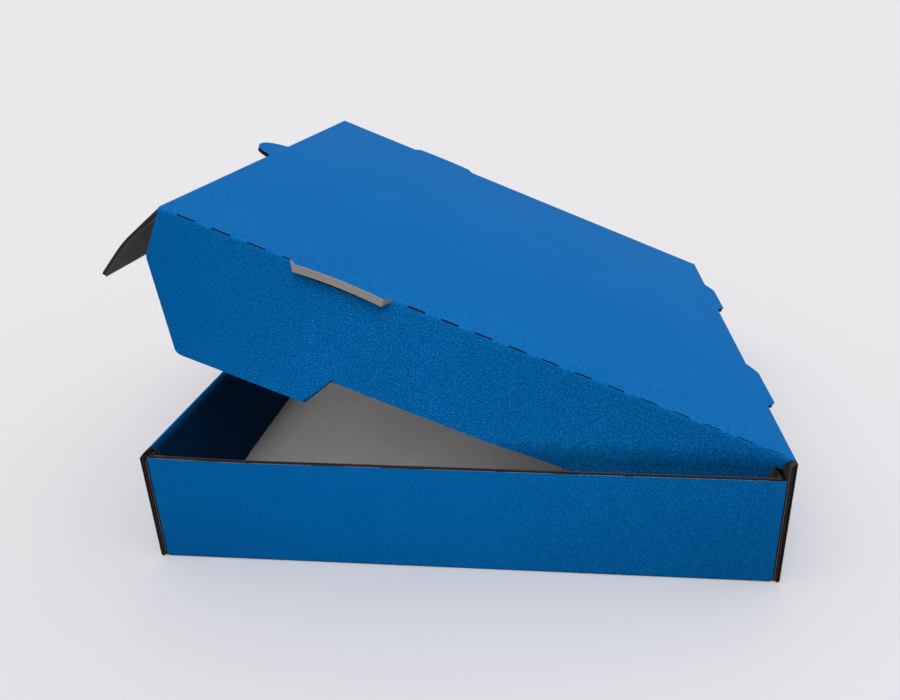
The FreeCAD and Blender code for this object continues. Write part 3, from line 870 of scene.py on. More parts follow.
    def patches(self) -> list[Patch]:
        """The shell, both vent tabs, both rear tabs and the thumb tab."""
        box = self.box
        patches = [self.shell()]
        for sign, lift in zip((-1, 1), self.vent_lift):
            patches.append(self.vent_tab(sign, lift))
            middle = sign * box.rear_tab_spacing / 2
            patches.append(self.tab(0.0, -box.rear_tab_depth, box.board.thickness, middle,
                                    box.rear_tab_base, box.rear_tab_tip, self.rear_tab_corner))
        patches.append(self.tab(box.lid_length, box.thumb_tab_depth, box.front_mitre, 0.0,
                                box.thumb_tab_base, box.thumb_tab_tip, self.thumb_tab_corner))
        return patches


@dataclass
class FrontFlap(Piece):
    """Flap on the lid's front fold, with a soft bend and a notch round the thumb tab."""

    name: ClassVar[str] = "front_flap_board"
    length: float = 48.0
    bend_at: float = 27.0
    bend: float = np.radians(10.5)
    bend_round: float = 60.0
    corner: float = 4.0
    crushed: float = 1.2
    crushed_reach: float = 7.0
    crushed_from: float = 20.0
    notch_fade: float = 40.0
    openness: float = 0.45
    # Factor of painted shade on the flap's inside.
    lining: float = 0.55
    row_step: float = 3.0
    column_step: float = 0.8

    def profile(self, v: np.ndarray) -> tuple[np.ndarray, np.ndarray, np.ndarray]:
        """The outer surface's line across the flap: a straight run, an arc and a run.

        With turn w = (v - v0)/radius on the arc, the line is x = v0 + radius sin(w) and
        z = -radius (1 - cos(w)), and after the arc it goes on along its tangent.

        Args:
            v: Lengths along the line, from the fold.

        Returns:
            Distance from the fold, height, and turn, for each length.
        """
        tangent = self.bend_round * np.tan(self.bend / 2)
        first = self.bend_at - tangent
        turn = np.clip((v - first) / self.bend_round, 0, self.bend)
        beyond = np.maximum(0, v - first - self.bend_round * self.bend)
        along = np.minimum(v, first) + self.bend_round * np.sin(turn) + beyond * np.cos(self.bend)
        height = -self.bend_round * (1 - np.cos(turn)) - beyond * np.sin(self.bend)
        return along, height, turn

    def patches(self) -> list[Patch]:
        """The flap's one shell."""
        box, board = self.box, self.box.board
        thick, radius = board.thickness, board.fold_round
        tangent = radius * np.tan(box.front_fold / 2)
        bend_tangent = self.bend_round * np.tan(self.bend / 2)
        size = self.length - 2 * bend_tangent + self.bend_round * self.bend
        swing = np.hypot(box.thumb_tab_depth, thick) + board.gap
        corner_lines = size - self.corner * (1 - np.sin(np.linspace(0, np.pi / 2, 8)))
        v = grid_lines([0, tangent / 2, tangent, thick, swing, *corner_lines], self.row_step)
        half = box.lid_half - box.layer
        base = box.thumb_tab_base / 2 + board.gap
        tip = box.thumb_tab_tip / 2 + board.gap
        y = grid_lines([-half, -base, base, half, -half + self.corner, half - self.corner], self.column_step)
        rest = np.clip(self.corner - (size - v), 0, self.corner)
        pull = self.corner - np.sqrt(self.corner**2 - rest**2)
        side = y[None] * (1 - pull[:, None] / half)
        inside = unit((v - thick) / (swing - thick)) * (v <= swing + 1e-6)
        off_middle = np.abs(y)
        beyond = unit(1 - (off_middle - base) / self.notch_fade)
        fade = np.where(off_middle <= base, off_middle / base, beyond)
        side = side - (np.sign(y) * fade)[None] * ((base - tip) * inside)[:, None]
        along, height, turn = self.profile(v)
        moved, drop = crease_round(v, radius, box.front_fold)
        out_along = np.where(v < tangent, moved, along)
        mitre = box.front_mitre * unit(1 - v / box.front_mitre_run)
        pivot = (
            box.hinge[0] - box.lid_length * np.cos(box.lid_open),
            box.hinge[1] + box.lid_length * np.sin(box.lid_open),
        )
        angle = box.lid_open - box.front_fold
        from_edge = np.minimum((size - v)[:, None], half - np.abs(y)[None])
        near_edge = unit(1 - from_edge / self.crushed_reach)
        depth = thick - self.crushed * near_edge * unit(v / self.crushed_from)[:, None]
        outer = hinge_points(out_along[:, None], side, (height - drop)[:, None], pivot, angle)
        inner = hinge_points((along + mitre)[:, None] - depth * np.sin(turn)[:, None], side,
                             height[:, None] - depth * np.cos(turn)[:, None], pivot, angle)
        kept = ~((middles(v) < swing)[:, None] & (np.abs(middles(y)) < base)[None])
        openness = np.where((v < 0.01)[:, None] & (np.abs(y) > base - 0.01)[None], 0.0, self.openness)
        crease = (v < 1.0)[:, None] + 0 * side
        return [board_shell(outer, inner, board, kept, side, crease, openness, lining=self.lining)]


@dataclass(frozen=True)
class TrayTones:
    """Painted light and shade on the tray's colours, and the places and lengths over which they change.

    The floor_ values paint light on its inside: the factor, its level at the middle, its
    rise per millimetre towards the hinge and its limits. The wall_ values are those of the
    side walls' print: its grain, painted light in its middle, and painted shade away from
    wall_middle and towards the ground. The hidden_ value and inner_shade paint shade on the
    liner hidden in the double walls and on the front wall's rim strip and inner panel, and
    the corner_ values on the near wall's rear corner flap.
    """

    # Painted light on the floor's inside, rising towards the hinge.
    floor_painted_light: float = 1.3
    floor_level: float = 1.35
    floor_rise: float = 0.004
    floor_limits: tuple[float, float] = (0.92, 1.3)
    # Painted shade on the liner hidden in the double walls, and on the front wall's rim strip and inner
    # panel.
    hidden_painted_shade: float = 0.2
    inner_shade: float = 0.21
    inner_fade: float = 7.0
    wall_grain: tuple[float, float] = (0.14, 0.52)
    wall_grain_from: float = -0.7
    wall_grain_run: float = 1.2
    # Painted light in the middle of the side walls' print, painted shade towards their ends and their foot.
    wall_painted_light: float = 1.04
    wall_middle: float = -30.0
    wall_even: float = 0.25
    wall_ends_painted_shade: float = 0.2
    wall_foot: float = 0.16
    wall_foot_run: float = 50.0
    # Painted shade on the near wall's rear corner flap.
    corner_painted_shade: float = 0.35
    corner_width: float = 14.0
    corner_above: float = 40.0


@dataclass
class Tray(Piece):
    """Floor and standing walls, with the roll-over front wall and the corner flaps.

    The side walls' rims sag by the two parts of sag over the two lengths of sag_run.
    Inner surfaces stay apart by close where a corner's rows would meet. The back wall
    has grid lines at wall_lines from its ends and at notch_foot from its top.
    """

    name: ClassVar[str] = "tray_board"
    tones: TrayTones = field(default_factory=TrayTones)
    corner_flap: float = 62.0
    corner_flap_taper: float = 12.0
    rollover_inset: float = 9.0
    rollover_lead: float = 1.5
    rollover_taper: float = 1.3
    rollover_lean: float = 4.4
    rollover_press: float = 1.5
    rim_fall: float = 1.1
    lean_from: float = 24.0
    flap_press: float = 0.82
    foot_mitre_run: float = 12.0
    sag: tuple[float, float] = (1.2, 0.5)
    sag_run: tuple[float, float] = (40.0, 290.0)
    lock_tab_width: float = 38.0
    lock_tab_spacing: float = 150.0
    wall_lines: float = 5.0
    notch_foot: float = 11.0
    close: float = 0.3
    pinch: float = 0.25
    plate_step: float = 8.0
    wide_step: float = 12.0
    height_step: float = 6.0
    flap_step: float = 5.0
    rim_step: float = 0.8
    inner_step: float = 3.0

    def lean(self, z: np.ndarray) -> np.ndarray:
        """Share of the inner front panel's lean at a height: ((z - z0) / (rim - z0))^1.6."""
        return unit((z - self.lean_from) / (self.box.front_height - self.lean_from)) ** 1.6

    def lock_tab_lines(self, clearance: float) -> list[float]:
        """Y of the sides of both locking tabs, or of their slots."""
        half = self.lock_tab_width / 2 + clearance
        return sorted(s * (self.lock_tab_spacing / 2 + t * half) for s in (-1, 1) for t in (-1, 1))

    def floor(self) -> Patch:
        """Floor plate with the two slots of the locking tabs, its edges inside the walls."""
        box, board = self.box, self.box.board
        reach_x = box.length / 2 - board.fold_round
        reach_y = box.width / 2 - board.fold_round
        slot = [-box.length / 2 + 2 * box.layer - board.gap,
                -box.length / 2 + 3 * board.thickness + 3 * board.gap]
        x = grid_lines([-reach_x, *slot, reach_x], self.plate_step)
        y = grid_lines([-reach_y, *self.lock_tab_lines(board.gap), reach_y], self.plate_step)
        gx, gy = np.meshgrid(x, y, indexing="ij")
        outer = grid_points(gx, gy, 0 * gx)
        inner = outer + (0, 0, board.thickness)
        slots = np.array(self.lock_tab_lines(board.gap)).reshape(2, 2)
        kept = ~(within(middles(x), np.array([slot]))[:, None] & within(middles(y), slots)[None])
        tones = self.tones
        # Painted light: the floor's inside is lighter, and more so towards the hinge.
        lining = tones.floor_painted_light * np.clip(tones.floor_level + tones.floor_rise * gx, *tones.floor_limits)
        return board_shell(outer, inner, board, kept, openness=0.0, lining=lining)

    def back_wall(self) -> Patch:
        """Back wall with its fold to the floor, its two notches and its mitred top.

        Going up, the outer surface leaves the underside on a quarter circle, runs up
        straight, and ends on its half of the hinge fold's arc.

        Returns:
            The wall's shell.
        """
        box, board = self.box, self.box.board
        thick, radius = board.thickness, board.fold_round
        bend = np.pi / 2 - box.lid_open
        tangent = radius * np.tan(bend / 2)
        top = box.back_height
        swing = np.hypot(box.rear_tab_depth, thick) + board.gap
        base = box.rear_tab_base / 2 + board.gap
        tip = box.rear_tab_tip / 2 + board.gap
        down = (0, tangent / 2, tangent, thick, swing, self.notch_foot)
        levels = grid_lines([radius, *(top - drop for drop in down)], self.height_step)
        z = np.append(quarter_turn(radius)[1], levels[1:])
        notches = [s * box.rear_tab_spacing / 2 for s in (-1, 1)]
        sides = [notch + t * base for notch in notches for t in (-1, 1)]
        half = box.width / 2
        y = grid_lines([-half, self.wall_lines - half, half - self.wall_lines, half, *sides], self.wide_step)
        side = np.broadcast_to(y[None], (len(z), len(y))).copy()
        row = np.argmin(np.abs(z - (top - swing)))
        for notch in notches:
            for sign in (-1, 1):
                side[row, np.argmin(np.abs(y - notch - sign * base))] -= sign * (base - tip)
        above = np.abs(np.abs(y) - box.rear_tab_spacing / 2) < base + 0.01
        moved, drop = crease_round(top - z, radius, bend)
        mitre = thick * unit(1 - (top - z) / box.rear_mitre_run)
        x_out = box.length / 2 - quarter_drop(radius, z) - drop
        z_out = np.where(top - z < tangent, top - moved, z)
        z_in = np.maximum(z - mitre, thick * unit(1 - z / self.foot_mitre_run))
        outer = grid_points(x_out[:, None], side, z_out[:, None])
        inner = grid_points(box.length / 2 - thick, side, z_in[:, None])
        in_notch = np.abs(np.abs(middles(y)) - box.rear_tab_spacing / 2) < base
        kept = ~((middles(z) > top - swing)[:, None] & in_notch[None])
        closed = (z < 0.01)[:, None] | ((z > top - 0.01)[:, None] & ~above[None])
        crease = (np.minimum(z, top - z) < radius)[:, None] + 0 * side
        # Painted shade on the liner near the wall's ends, seen in the gaps beside the corner flaps.
        lining = np.where(np.abs(side) > half - self.wall_lines - 0.1, self.tones.hidden_painted_shade, 1.0)
        openness = np.where(closed, 0.0, 1.0)
        return board_shell(outer, inner, board, kept, side, crease, openness, lining=lining)

    def front_wall(self) -> Patch:
        """Front wall that rolls over its rim and comes down inside, locked in the floor.

        The line of its outer surface is followed by length: quarter circle from the
        underside, straight up, quarter circle, over the rim, quarter circle, straight
        down. Its half width narrows from the outer panel's to the inner panel's while it
        crosses the rim.

        Returns:
            The wall's shell.
        """
        box, board = self.box, self.box.board
        thick, radius, layer = board.thickness, board.fold_round, box.layer
        front, rim = -box.length / 2, box.front_height
        foot = front + 3 * thick + 2 * board.gap
        back = foot - self.rollover_lean
        turn, start, end = quarter_turn(radius)
        rise = grid_lines([radius, rim - radius], self.height_step)[1:-1]
        over = grid_lines([front + radius, front + self.rollover_taper, back - radius], self.rim_step)[1:-1]
        fall = grid_lines([0, layer, rim - radius], self.inner_step)[::-1][1:]
        leaning = foot - self.rollover_lean * self.lean(fall)
        pressed = thick - self.rollover_press * self.lean(fall)
        x = np.concatenate([front + end, front + 0 * rise, front + start, over, back - end, leaning])
        z = np.concatenate([start, rise, rim - end, rim + 0 * over, rim - start, fall])
        spread = self.pinch * turn / turn[-1]
        pinched = back - thick + self.rollover_press
        x_in = np.concatenate([
            front + thick + 0 * turn, front + thick + 0 * rise, front + thick + 0.2 * spread,
            np.interp(over, [front + radius, back - radius], [front + thick + 0.05, pinched - self.close]),
            pinched - self.pinch + spread, leaning - pressed,
        ])
        z_in = np.concatenate([
            thick + spread, np.interp(rise, [radius, rim - radius], [thick + 0.4, rim - thick - 0.4]),
            rim - thick - self.pinch + spread, rim - thick + 0 * over, rim - thick - spread,
            np.minimum(fall, rim - thick - 2 * self.pinch),
        ])
        panels = [len(turn), len(rise), len(turn), len(over), len(turn), len(fall)]
        part = np.repeat(np.arange(len(panels)), panels)
        across_rim = unit((x - front - radius) / (back - front - radius))
        sink = self.rim_fall * np.where(part < 3, 0, across_rim * self.lean(z) ** 0.6)
        z, z_in = z - sink, z_in - sink
        half_out = box.width / 2
        lead, inset = half_out - self.rollover_lead, half_out - self.rollover_inset
        over_half = np.interp(x, [front, front + self.rollover_taper], [lead, inset])
        half = np.where(part < 2, half_out, np.where(part < 4, over_half, inset))
        half[(part == 2) & (z < rim - radius + 0.01)] = half_out
        lines = [line / inset for line in self.lock_tab_lines(0.0)]
        s = grid_lines([-1, 1, *lines], self.wide_step / half_out)
        side = half[:, None] * s[None]
        outer = grid_points(x[:, None], side, z[:, None])
        inner = grid_points(x_in[:, None], side, z_in[:, None])
        low = (part[1:] == 5) & (z[1:] < layer - 0.01)
        kept = ~low[:, None] | within(middles(s), np.array(lines).reshape(2, 2))[None]
        crease = np.isin(part, (0, 2, 4))[:, None] + 0 * side
        openness = np.where((z < 0.01) & (part == 0), 0.0, 1.0)[:, None]
        # Painted shade on the rim strip, fading in from its outer fold, and on the inner panel under the lid;
        # painted shade on the liner hidden in the double wall.
        fade = np.where(part < 3, 0, 1 - np.exp(-self.tones.inner_fade * across_rim))
        shade = (1 - (1 - self.tones.inner_shade) * fade)[:, None]
        lining = np.where(part != 3, self.tones.hidden_painted_shade, 1.0)[:, None]
        return board_shell(outer, inner, board, kept, side, crease, openness, shade=shade, lining=lining)

    def side_wall(self, sign: int) -> Patch:
        """One side wall with the two corner flaps folded in from its ends.

        The outer surface's line in plan is followed from the free end of the front
        corner flap, round a quarter circle, along the wall, round another, to the free
        end of the rear one. Heights run from lower to upper edge, which change at the
        corners.

        Args:
            sign: -1 for the near wall, 1 for the far wall.

        Returns:
            The shell of the wall and its corner flaps.
        """
        box, board, tones, close = self.box, self.box.board, self.tones, self.close
        thick, radius, layer = board.thickness, board.fold_round, box.layer
        end = box.length / 2 - layer
        face = box.width / 2
        free = face - self.corner_flap
        turn, leave, arrive = quarter_turn(radius)
        flap = grid_lines([free, free + self.corner_flap_taper, face - radius], self.flap_step)
        run = grid_lines([-end + radius, end - radius], self.plate_step)[1:-1]
        x = np.concatenate([-end + 0 * flap, -end + leave[1:], run, end - arrive, end + 0 * flap[1:]])
        y = np.concatenate([flap, face - arrive[1:], face + 0 * run, face - leave, flap[::-1][1:]])
        flap_in = np.minimum(flap, face - thick - close)
        spread = close * turn / turn[-1]
        x_in = np.concatenate([-end + thick + 0 * flap, -end + thick + spread[1:],
                               np.interp(run, [-end, end], [-end + thick, end - thick]),
                               end - thick - close + spread, end - thick + 0 * flap[1:]])
        y_in = np.concatenate([flap_in, face - thick - close + spread[1:], face - thick + 0 * run,
                               face - thick - spread, flap_in[::-1][1:]])
        counts = [len(flap), len(turn) - 1, len(run), len(turn), len(flap) - 1]
        part = np.repeat(np.arange(len(counts)), counts)
        low = np.where(np.isin(part, (0, 4)), layer, 0.0)
        cut_off = np.clip(self.corner_flap_taper - (y - free), 0, None)
        high = np.select([part == 0, part == 4], [box.front_height - layer, box.side_height - cut_off],
                         box.side_height)
        share = np.concatenate([[0, 0.002, 0.008, 0.02], np.linspace(0.04, 1, 42)])
        wall = np.isin(part, (1, 2, 3))[:, None]
        from_front = x + end
        sag = sum(most * unit(from_front / run_in) for most, run_in in zip(self.sag, self.sag_run))
        high = high - np.where(part == 2, sag, np.where(part > 2, sum(self.sag), 0))
        z = low[:, None] + share[None] * (high - low)[:, None]
        under = np.where(wall, quarter_drop(radius, z), 0)
        z_in = np.maximum(z, np.where(wall, 1.0 + 0.4 * z, z))
        outer = grid_points(x[:, None], sign * (y[:, None] - under), z)
        pressed = self.flap_press * thick * self.lean(z) * (part == 0)[:, None]
        inner = grid_points(x_in[:, None] - pressed, sign * y_in[:, None], z_in)
        across = face + z
        crease = np.where(np.isin(part, (1, 3))[:, None] | (wall & (z < radius)), 1.0, 0.0)
        openness = np.where(wall & (z < 0.01), 0.0, 1.0)
        to_hinge = unit((x / end - tones.wall_grain_from) / tones.wall_grain_run)[:, None]
        grained = tones.wall_grain[0] + tones.wall_grain[1] * to_hinge
        coarse = np.where((part == 2)[:, None], grained, 0.1)
        # Painted shade on the near wall's rear corner flap, and on the liner of the front corner flap hidden
        # in the double wall.
        corner = (part == 4) & (y > face - tones.corner_width)
        lining = np.where(corner[:, None] & (z > tones.corner_above) & (sign < 0), tones.corner_painted_shade, 1.0)
        lining = np.where((part == 0)[:, None], tones.hidden_painted_shade, lining)
        # Painted light in the middle of the wall's print, painted shade towards its ends and its foot, and
        # painted shade on the front corner flap.
        off_middle = unit(np.abs(x - tones.wall_middle) / end - tones.wall_even)[:, None]
        low_down = unit(1 - z / tones.wall_foot_run)
        shade = tones.wall_painted_light - tones.wall_ends_painted_shade * off_middle - tones.wall_foot * low_down
        shade = np.where((part == 0)[:, None], tones.inner_shade, shade)
        return board_shell(outer, inner, board, None, across, crease, openness, coarse, shade, lining)

    def patches(self) -> list[Patch]:
        """The floor and the four walls."""
        return [self.floor(), self.back_wall(), self.front_wall(), self.side_wall(-1), self.side_wall(1)]


@dataclass(frozen=True)
class Graph:
    """A node tree, with short ways to add what the finishes need.

    Wherever a value goes in, it is a number, a colour or another node's socket.
    """

    tree: bpy.types.NodeTree

    def plug(self, socket: bpy.types.NodeSocket, value: object) -> None:
        """Links a socket to another one, or sets its own value.

        Args:
            socket: The input.
            value: What goes into it; a colour has three parts and gets alpha 1.
        """
        if isinstance(value, bpy.types.NodeSocket):
            self.tree.links.new(value, socket)
        elif isinstance(value, tuple):
            socket.default_value = (*value, 1.0)
        else:
            socket.default_value = value

    def value(self, operation: str, first: object, second: object) -> bpy.types.NodeSocket:
        """A math node.

        Args:
            operation: Blender's name of the operation.
            first: Left input.
            second: Right input.

        Returns:
            The node's output.
        """
        node = self.tree.nodes.new("ShaderNodeMath")
        node.operation = operation
        self.plug(node.inputs[0], first)
        self.plug(node.inputs[1], second)
        return node.outputs[0]

    def product(self, *factors: object) -> bpy.types.NodeSocket:
        """Two or more values multiplied, from left to right."""
        return reduce(lambda first, second: self.value("MULTIPLY", first, second), factors)

    def mix(self, share: object, first: object, second: object) -> bpy.types.NodeSocket:
        """A colour mix.

        Args:
            share: Share of the second colour.
            first: Colour at share 0.
            second: Colour at share 1.

        Returns:
            The mixed colour.
        """
        node = self.tree.nodes.new("ShaderNodeMix")
        node.data_type = "RGBA"
        for place, value in ((0, share), (6, first), (7, second)):
            self.plug(node.inputs[place], value)
        return node.outputs[2]

    def place(self) -> bpy.types.NodeSocket:
        """The object's own coordinates."""
        return self.tree.nodes.new("ShaderNodeTexCoord").outputs["Object"]

    def noise(
        self, place: bpy.types.NodeSocket, scale: float, detail: float, roughness: float = 0.5
    ) -> bpy.types.NodeSocket:
        """A noise texture's value.

        Args:
            place: Coordinates to read it at.
            scale: Cells per metre.
            detail: Octaves.
            roughness: Weight of the finer octaves.

        Returns:
            The value, about 0.5 in the middle.
        """
        node = self.tree.nodes.new("ShaderNodeTexNoise")
        settings = {"Vector": place, "Scale": scale, "Detail": detail, "Roughness": roughness}
        for name, value in settings.items():
            self.plug(node.inputs[name], value)
        return node.outputs["Fac"]

    def attribute(self, name: str) -> bpy.types.NodeSocket:
        """The value of one of the board's own attributes."""
        node = self.tree.nodes.new("ShaderNodeAttribute")
        node.attribute_name = name
        return node.outputs["Fac"]

    def bump(self, height: bpy.types.NodeSocket, distance: float, strength: float) -> bpy.types.NodeSocket:
        """A bumped normal.

        Args:
            height: Height from 0 to 1.
            distance: Depth of the relief in metres.
            strength: Weight of the effect.

        Returns:
            The normal.
        """
        node = self.tree.nodes.new("ShaderNodeBump")
        for name, value in (("Distance", distance), ("Strength", strength), ("Height", height)):
            self.plug(node.inputs[name], value)
        return node.outputs["Normal"]

    def toned(self, colour: bpy.types.NodeSocket, tone: bpy.types.NodeSocket) -> bpy.types.NodeSocket:
        """A colour times a value.

        Args:
            colour: The colour.
            tone: The factor.

        Returns:
            The product.
        """
        node = self.tree.nodes.new("ShaderNodeVectorMath")
        node.operation = "SCALE"
        self.plug(node.inputs[0], colour)
        self.plug(node.inputs["Scale"], tone)
        return node.outputs[0]


def new_material(name: str) -> tuple[bpy.types.Material, Graph, bpy.types.Node]:
    """A new node material.

    Args:
        name: The material's name.

    Returns:
        The material, its graph and its Principled shader.
    """
    material = bpy.data.materials.new(name)
    material.use_nodes = True
    return material, Graph(material.node_tree), material.node_tree.nodes["Principled BSDF"]


@dataclass(frozen=True)
class PaperGrain:
    """Node group with the board's fine grain, cloudy mottle and the faint ridges of its flutes."""

    fine_scale: float = 1250.0
    cloud_scale: float = 26.0

    def build(self) -> bpy.types.ShaderNodeTree:
        """The group.

        Returns:
            A group with the inputs Grain, Mottle and Ridge, which are weights, and the
            outputs Tone, about 1, and Height, from 0 to 1.
        """
        group = bpy.data.node_groups.new("paper_grain", "ShaderNodeTree")
        for name in ("Grain", "Mottle", "Ridge"):
            group.interface.new_socket(name, in_out="INPUT", socket_type="NodeSocketFloat")
        for name in ("Tone", "Height"):
            group.interface.new_socket(name, in_out="OUTPUT", socket_type="NodeSocketFloat")
        given = group.nodes.new("NodeGroupInput")
        result = group.nodes.new("NodeGroupOutput")
        graph = Graph(group)
        place = graph.place()
        fine = graph.value("SUBTRACT", graph.noise(place, self.fine_scale, 2.0, 0.6), 0.5)
        cloud = graph.value("SUBTRACT", graph.noise(place, self.cloud_scale, 4.0), 0.5)
        across = graph.product(graph.attribute("across"), 2 * np.pi / Board().flute_pitch)
        ridge = graph.product(graph.value("SINE", across, 0.0), 0.5)
        grain, mottle, ridges = (
            graph.product(source, given.outputs[name])
            for source, name in ((fine, "Grain"), (cloud, "Mottle"), (ridge, "Ridge"))
        )
        tone = graph.value("ADD", graph.value("ADD", grain, mottle), 1.0)
        height = graph.value("ADD", graph.value("ADD", grain, ridges), 0.5)
        graph.plug(result.inputs["Tone"], tone)
        graph.plug(result.inputs["Height"], height)
        return group


@dataclass(frozen=True)
class Finish:
    """What the board's finishes have in common: weights of the grain group, relief and gloss."""

    name: ClassVar[str]
    grain: float
    mottle: float
    ridge: float
    relief: float
    relief_strength: float
    roughness: float
    specular: float

    def coloured(self, graph: Graph, surface: bpy.types.Node) -> bpy.types.NodeSocket:
        """The colour, which each finish makes for itself from the graph and its grain group."""
        raise NotImplementedError

    def build(self, group: bpy.types.ShaderNodeTree) -> bpy.types.Material:
        """The material.

        Args:
            group: The grain group.

        Returns:
            The finished material.
        """
        material, graph, shader = new_material(self.name)
        surface = graph.tree.nodes.new("ShaderNodeGroup")
        surface.node_tree = group
        for name, weight in {"Grain": self.grain, "Mottle": self.mottle, "Ridge": self.ridge}.items():
            graph.plug(surface.inputs[name], weight)
        finish = {
            "Base Color": self.coloured(graph, surface),
            "Normal": graph.bump(surface.outputs["Height"], self.relief, self.relief_strength),
            "Roughness": self.roughness,
            "Specular IOR Level": self.specular,
        }
        for name, value in finish.items():
            graph.plug(shader.inputs[name], value)
        return material


@dataclass(frozen=True)
class PrintedLiner(Finish):
    """Matt blue print on the outer liner, flecked by its grain and worn paler along its folds.

    The fine grain's weight comes on top of each point's own coarse value.
    """

    name: ClassVar[str] = "blue_print"
    grain: float = 1.85
    mottle: float = 0.12
    ridge: float = 0.04
    relief: float = 0.0004
    relief_strength: float = 0.5
    roughness: float = 0.55
    specular: float = 0.016
    colour: tuple[float, float, float] = (0.0006, 0.146, 0.466)
    worn: tuple[float, float, float] = (0.02, 0.22, 0.54)
    fleck: tuple[float, float, float] = (0.018, 0.25, 0.57)
    fleck_share: float = 1.3
    scuff_scale: float = 140.0
    scuff_from: float = 0.46
    scuff_gain: float = 2.4
    scuff_share: float = 0.6

    def coloured(self, graph: Graph, surface: bpy.types.Node) -> bpy.types.NodeSocket:
        """The print, flecked by its grain, worn on its folds and toned by its painted light and shade."""
        graph.plug(surface.inputs["Grain"], graph.product(graph.attribute("coarse"), self.grain))
        tone = surface.outputs["Tone"]
        above = graph.value("MAXIMUM", graph.value("SUBTRACT", tone, 1.0), 0.0)
        flecked = graph.value("MINIMUM", graph.product(above, self.fleck_share), 1.0)
        rubbed = graph.noise(graph.place(), self.scuff_scale, 5.0, 0.7)
        scuff = graph.value("SUBTRACT", rubbed, self.scuff_from)
        scuff = graph.value("MINIMUM", graph.product(scuff, self.scuff_gain), 1.0)
        scuff = graph.value("MAXIMUM", scuff, 0.0)
        on_fold = graph.product(graph.attribute("crease"), scuff, self.scuff_share)
        colour = graph.mix(flecked, graph.mix(on_fold, self.colour, self.worn), self.fleck)
        return graph.toned(colour, graph.product(tone, graph.attribute("shade")))


@dataclass(frozen=True)
class BareLiner(Finish):
    """Grey paper of the inner liner, also on the pressed cut edges of the vent tabs."""

    name: ClassVar[str] = "bare_liner"
    grain: float = 0.35
    mottle: float = 0.25
    ridge: float = 0.16
    relief: float = 0.0005
    relief_strength: float = 0.6
    roughness: float = 0.85
    specular: float = 0.15
    colour: tuple[float, float, float] = (0.47, 0.455, 0.46)
    pressed_edge: tuple[float, float, float] = (0.36, 0.31, 0.285)
    print_line: tuple[float, float, float] = (0.42, 0.5, 0.6)
    edge_until: float = 0.97
    print_until: float = 0.08

    def coloured(self, graph: Graph, surface: bpy.types.Node) -> bpy.types.NodeSocket:
        """The bare paper, with other colours on a pressed edge's layers, toned by its painted light and
        shade.
        """
        layer = graph.attribute("layer")
        on_edge = graph.value("LESS_THAN", layer, self.edge_until)
        at_print = graph.value("LESS_THAN", layer, self.print_until)
        colour = graph.mix(at_print, graph.mix(on_edge, self.colour, self.pressed_edge), self.print_line)
        return graph.toned(colour, graph.product(surface.outputs["Tone"], graph.attribute("shade")))


@dataclass(frozen=True)
class CutEdge(Finish):
    """Raw edge: brown cut paper, with shade painted dark in the hollows between the flutes.

    Edges that face up keep a broken pale line along a grained print, and upright edges
    that face the front, towards the key light, get a painted highlight of light brown paper
    at the liner.
    """

    name: ClassVar[str] = "cut_edge"
    grain: float = 0.5
    mottle: float = 0.5
    ridge: float = 0.0
    relief: float = 0.0004
    relief_strength: float = 0.6
    roughness: float = 0.9
    specular: float = 0.06
    paper: tuple[float, float, float] = (0.08, 0.06, 0.054)
    # Painted highlight on edges that face the key light.
    painted_highlight: tuple[float, float, float] = (0.2, 0.155, 0.135)
    # Painted shade of the hollows.
    hollow: tuple[float, float, float] = (0.012, 0.009, 0.009)
    pale: tuple[float, float, float] = (0.30, 0.40, 0.52)
    hollow_power: float = 0.7
    pale_until: float = 0.24
    painted_highlight_from: float = 0.9
    grained_from: float = 0.12
    upward_from: float = 0.6
    facing_key_light_until: float = -0.8
    break_scale: float = 75.0
    break_from: float = 0.47

    def coloured(self, graph: Graph, surface: bpy.types.Node) -> bpy.types.NodeSocket:
        """The cut paper, the painted shade of its hollows, the pale line at the print and the painted
        highlight at the liner.
        """
        # Painted shade: the paper darkens the deeper it lies in a hollow.
        depth = graph.value("POWER", graph.attribute("hollow"), self.hollow_power)
        colour = graph.mix(depth, self.paper, self.hollow)
        layer = graph.attribute("layer")
        facing = graph.tree.nodes.new("ShaderNodeSeparateXYZ")
        graph.plug(facing.inputs[0], graph.tree.nodes.new("ShaderNodeNewGeometry").outputs["True Normal"])
        grained = graph.value("GREATER_THAN", graph.attribute("coarse"), self.grained_from)
        breaks = graph.noise(graph.place(), self.break_scale, 4.0, 0.65)
        broken = graph.value("GREATER_THAN", breaks, self.break_from)
        at_print = graph.value("LESS_THAN", layer, self.pale_until)
        upward = graph.value("GREATER_THAN", facing.outputs["Z"], self.upward_from)
        colour = graph.mix(graph.product(at_print, broken, upward, grained), colour, self.pale)
        # Painted highlight where the liner's edge faces the key light.
        at_liner = graph.value("GREATER_THAN", layer, self.painted_highlight_from)
        facing_key_light = graph.value("LESS_THAN", facing.outputs["Y"], self.facing_key_light_until)
        ungrained = graph.value("SUBTRACT", 1.0, grained)
        colour = graph.mix(graph.product(at_liner, facing_key_light, ungrained), colour, self.painted_highlight)
        return graph.toned(colour, surface.outputs["Tone"])


@dataclass
class Finishes:
    """The board's three finishes, built once and shared by every piece."""

    printed: PrintedLiner = field(default_factory=PrintedLiner)
    bare: BareLiner = field(default_factory=BareLiner)
    cut: CutEdge = field(default_factory=CutEdge)
    built: list[bpy.types.Material] = field(default_factory=list)

    def materials(self) -> list[bpy.types.Material]:
        """The materials in the order of Surface."""
        if not self.built:
            group = PaperGrain().build()
            self.built = [finish.build(group) for finish in (self.printed, self.bare, self.cut)]
        return self.built


